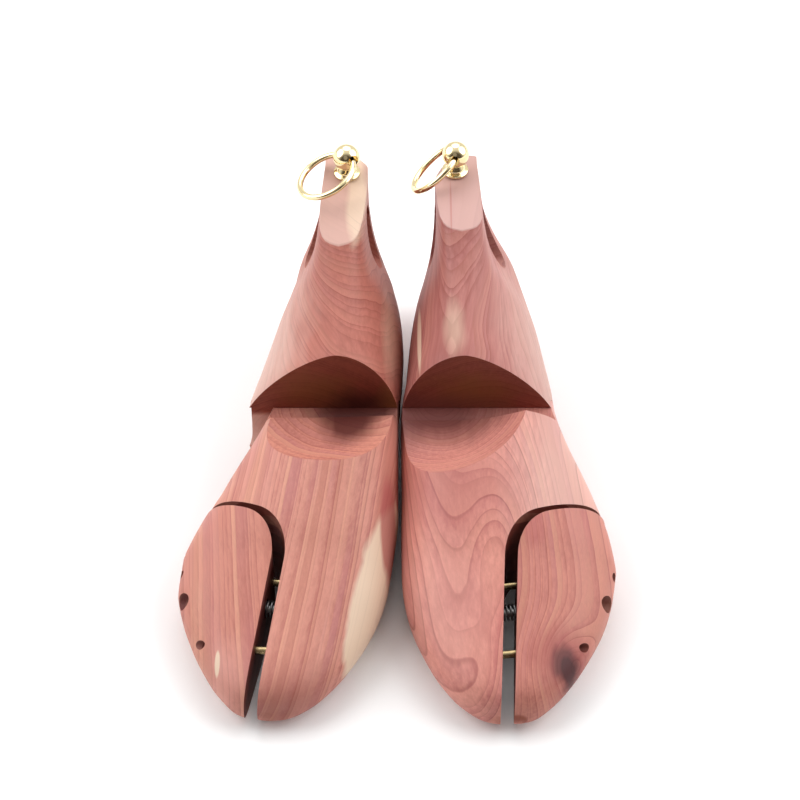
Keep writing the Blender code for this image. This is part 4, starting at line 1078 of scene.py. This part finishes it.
def brass_knob(name, foot, plain, hole_way, ball_place):
    y = KNOB_STATION_SHARE * HEEL_LENGTH
    x = KNOB_SIDE_SHARE * HEEL_WIDTH - foot["ridge_shift"]
    axis = np.array([0, *heading(90 + foot["facet_lean"])])
    foot_point = np.array([x, y, facet_height(y, foot)]) + axis * CLEARANCE
    neck_angle = math.asin(FOOT_SHARES[-1][1] * FLANGE_RADIUS / BRASS_BALL_RADIUS)
    ball_height = FOOT_HEIGHT + BRASS_BALL_RADIUS * math.cos(neck_angle)
    flare = [(along * FOOT_HEIGHT, radius * FLANGE_RADIUS) for along, radius in FOOT_SHARES]
    profile = [tuple(point) for point in fair(flare, FOOT_STEPS)[:-1]]
    for angle in np.linspace(neck_angle, math.radians(BALL_TOP_ANGLE), BALL_STEPS):
        along = ball_height - BRASS_BALL_RADIUS * math.cos(angle)
        profile.append((along, BRASS_BALL_RADIUS * math.sin(angle)))
    knob = turned(name, profile, foot_point, axis, plain, KNOB_SIDES)
    way, reach = np.array(hole_way), 2 * BRASS_BALL_RADIUS
    start = ball_place - way * reach
    carve(knob, [drilled("hole", RING_HOLE_RADIUS, 2 * reach, start, way, lambda point: point,
                         HOLE_SIDES)])
    return knob


polished_brass = make_metal("polished brass", (0.83, 0.69, 0.4), 0.07, 0.93, 0.05)
ring_joints = {}
for side_name, foot in FEET.items():
    joint = next(j for j in frame["joints"] if j["name"] == side_name + "_ring_swing")
    ring_joints[side_name] = joint
    pivot = np.array(joint["pos_m"])
    knob = brass_knob(side_name + "_brass_knob", foot, placers(foot)[0], joint["axis"], pivot)
    sand(knob, polished_brass)
    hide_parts(side_name + "_knob")
    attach(knob, side_name + "_heel")

# Pull rings: round brass wire bent into a ring through the knob's ball and soldered shut. Each one
# hangs loose in the hole, turned as the record has it.
RING_RADIUS = 0.014
RING_WIRE = 0.0015
RING_POINTS = 128
RING_ROUNDNESS = 8
for side_name in FEET:
    low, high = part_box(side_name + "_ring")
    centre = np.array((low + high) / 2)
    pivot, way = (np.array(ring_joints[side_name][key]) for key in ("pos_m", "axis"))
    down = centre - pivot
    down = down - way * (down @ way)
    down = down / np.linalg.norm(down)
    turns = [heading(360 * i / RING_POINTS) * RING_RADIUS for i in range(RING_POINTS)]
    points = [centre + way * u + down * v for u, v in turns]
    curve = wire(side_name + "_ring_wire", points, RING_WIRE, RING_ROUNDNESS, closed=True)
    ring = put_in(side_name + "_brass_ring", curve)
    curve.materials.append(polished_brass)
    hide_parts(side_name + "_ring")
    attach(ring, side_name + "_pull_ring")

# The floor is one wide white sheet, laid just under the soles. Away from the pair it glows for
# whoever looks at it, so that it runs into the white room without a line.
FLOOR_REACH = 3.0
FLOOR_DROP = 0.0002
# Closer in, a weaker glow for the camera paints light over the pair's shadows on the floor. It
# fades out towards the middle, under the pair, so the floor seen through the saw cuts stays in
# shade.
SHADOW_WASH_RANGE, SHADOW_WASH_GLOW = (0.06, 0.17), 0.09
FAR_GLOW_RANGE = (0.4, 1.2)


def seen_directly(path):
    """One for what the camera, a mirror or glass shows, nought for the light on other things."""
    seen = maths("MAXIMUM", path["Is Camera Ray"], path["Is Glossy Ray"])
    return maths("MAXIMUM", seen, path["Is Transmission Ray"])


floor_mesh = bpy.data.meshes.new("studio_floor")
corners = [(x * FLOOR_REACH, y * FLOOR_REACH, 0) for x, y in ((-1, -1), (1, -1), (1, 1), (-1, 1))]
floor_mesh.from_pydata(corners, [], [(0, 1, 2, 3)])
floor = put_in("studio_floor", floor_mesh)
floor.location.z = -FLOOR_DROP
white_sheet, tree, shader = new_material("white studio sheet")
seen = seen_directly(tree.nodes.new("ShaderNodeLightPath").outputs)
far = vector_maths("LENGTH", tree.nodes.new("ShaderNodeTexCoord").outputs["Object"])
# painted light over the pair's floor shadows, none right under the pair
shadow_wash = times(smooth_between(far, *SHADOW_WASH_RANGE), SHADOW_WASH_GLOW)
glow = plus(smooth_between(far, *FAR_GLOW_RANGE), shadow_wash)
feed(shader.inputs, {
    "Base Color": (0.95, 0.95, 0.95, 1), "Roughness": 0.9, "Specular IOR Level": 0.1,
    "Emission Color": (1, 1, 1, 1), "Emission Strength": times(seen, glow),
})
floor_mesh.materials.append(white_sheet)
floor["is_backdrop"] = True

# Light: large soft boxes high at both sides, a third above and behind, a weak fill in front, and a
# pale room. It is dark only where the camera stands, which gives the brass its dark reflections.
# Seen directly it is white.
AMBIENT = 0.3
DARK_SIDE_RANGE, DARK_SIDE = (0.15, 0.75), (0.1, 0.085, 0.075)
world = bpy.data.worlds.new("studio")
bpy.context.scene.world = world
world.use_nodes = True
tree = world.node_tree
background = tree.nodes["Background"]
path = tree.nodes.new("ShaderNodeLightPath").outputs
way = tree.nodes.new("ShaderNodeTexCoord").outputs["Generated"]
front = times(node("ShaderNodeSeparateXYZ", {0: way}).outputs[1], -1.0)
camera_side = times(smooth_between(front, *DARK_SIDE_RANGE),
                    maths("SUBTRACT", 1.0, path["Is Camera Ray"]))
feed(background.inputs, {"Color": blended(camera_side, WHITE, DARK_SIDE),
                         "Strength": lifted(seen_directly(path), AMBIENT)})
for name, place, aim, size, power in (
    ("left box", (-0.95, 0.15, 0.80), (0, 0, 0.04), 1.3, 12.2),
    ("right box", (0.95, 0.15, 0.80), (0, 0, 0.04), 1.3, 12.2),
    ("rear box", (0.0, 0.60, 0.95), (0, 0, 0.03), 0.9, 4.6),
    ("front fill", (-0.20, -1.1, 0.90), (0, 0, 0.04), 0.9, 0.5),
):
    lamp = bpy.data.lights.new(name, "AREA")
    lamp.shape, lamp.size, lamp.energy = "DISK", size, power
    thing = put_in(name, lamp)
    thing.location = place
    thing.rotation_euler = (Vector(aim) - Vector(place)).to_track_quat("-Z", "Y").to_euler()

# The camera looks down on the pair from in front of the toes, with a long lens. Its height and its
# distance were fitted to the photo.
ELEVATION = 44.0
DISTANCE = 0.9
LOOKED_AT = (0, 0.0085, 0.04)
SENSOR_WIDTH = 36.0
LENS = 87.075
camera_data = bpy.data.cameras.new("camera")
camera_data.sensor_width = SENSOR_WIDTH
camera_data.lens = LENS
camera = put_in("camera", camera_data)
back = Vector((0, -math.cos(math.radians(ELEVATION)), math.sin(math.radians(ELEVATION))))
camera.location = Vector(LOOKED_AT) + Vector(stand) + back * DISTANCE
camera.rotation_euler = (-back).to_track_quat("-Z", "Y").to_euler()
bpy.context.scene.camera = camera
bpy.context.scene.view_settings.view_transform = "Standard"

low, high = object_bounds()
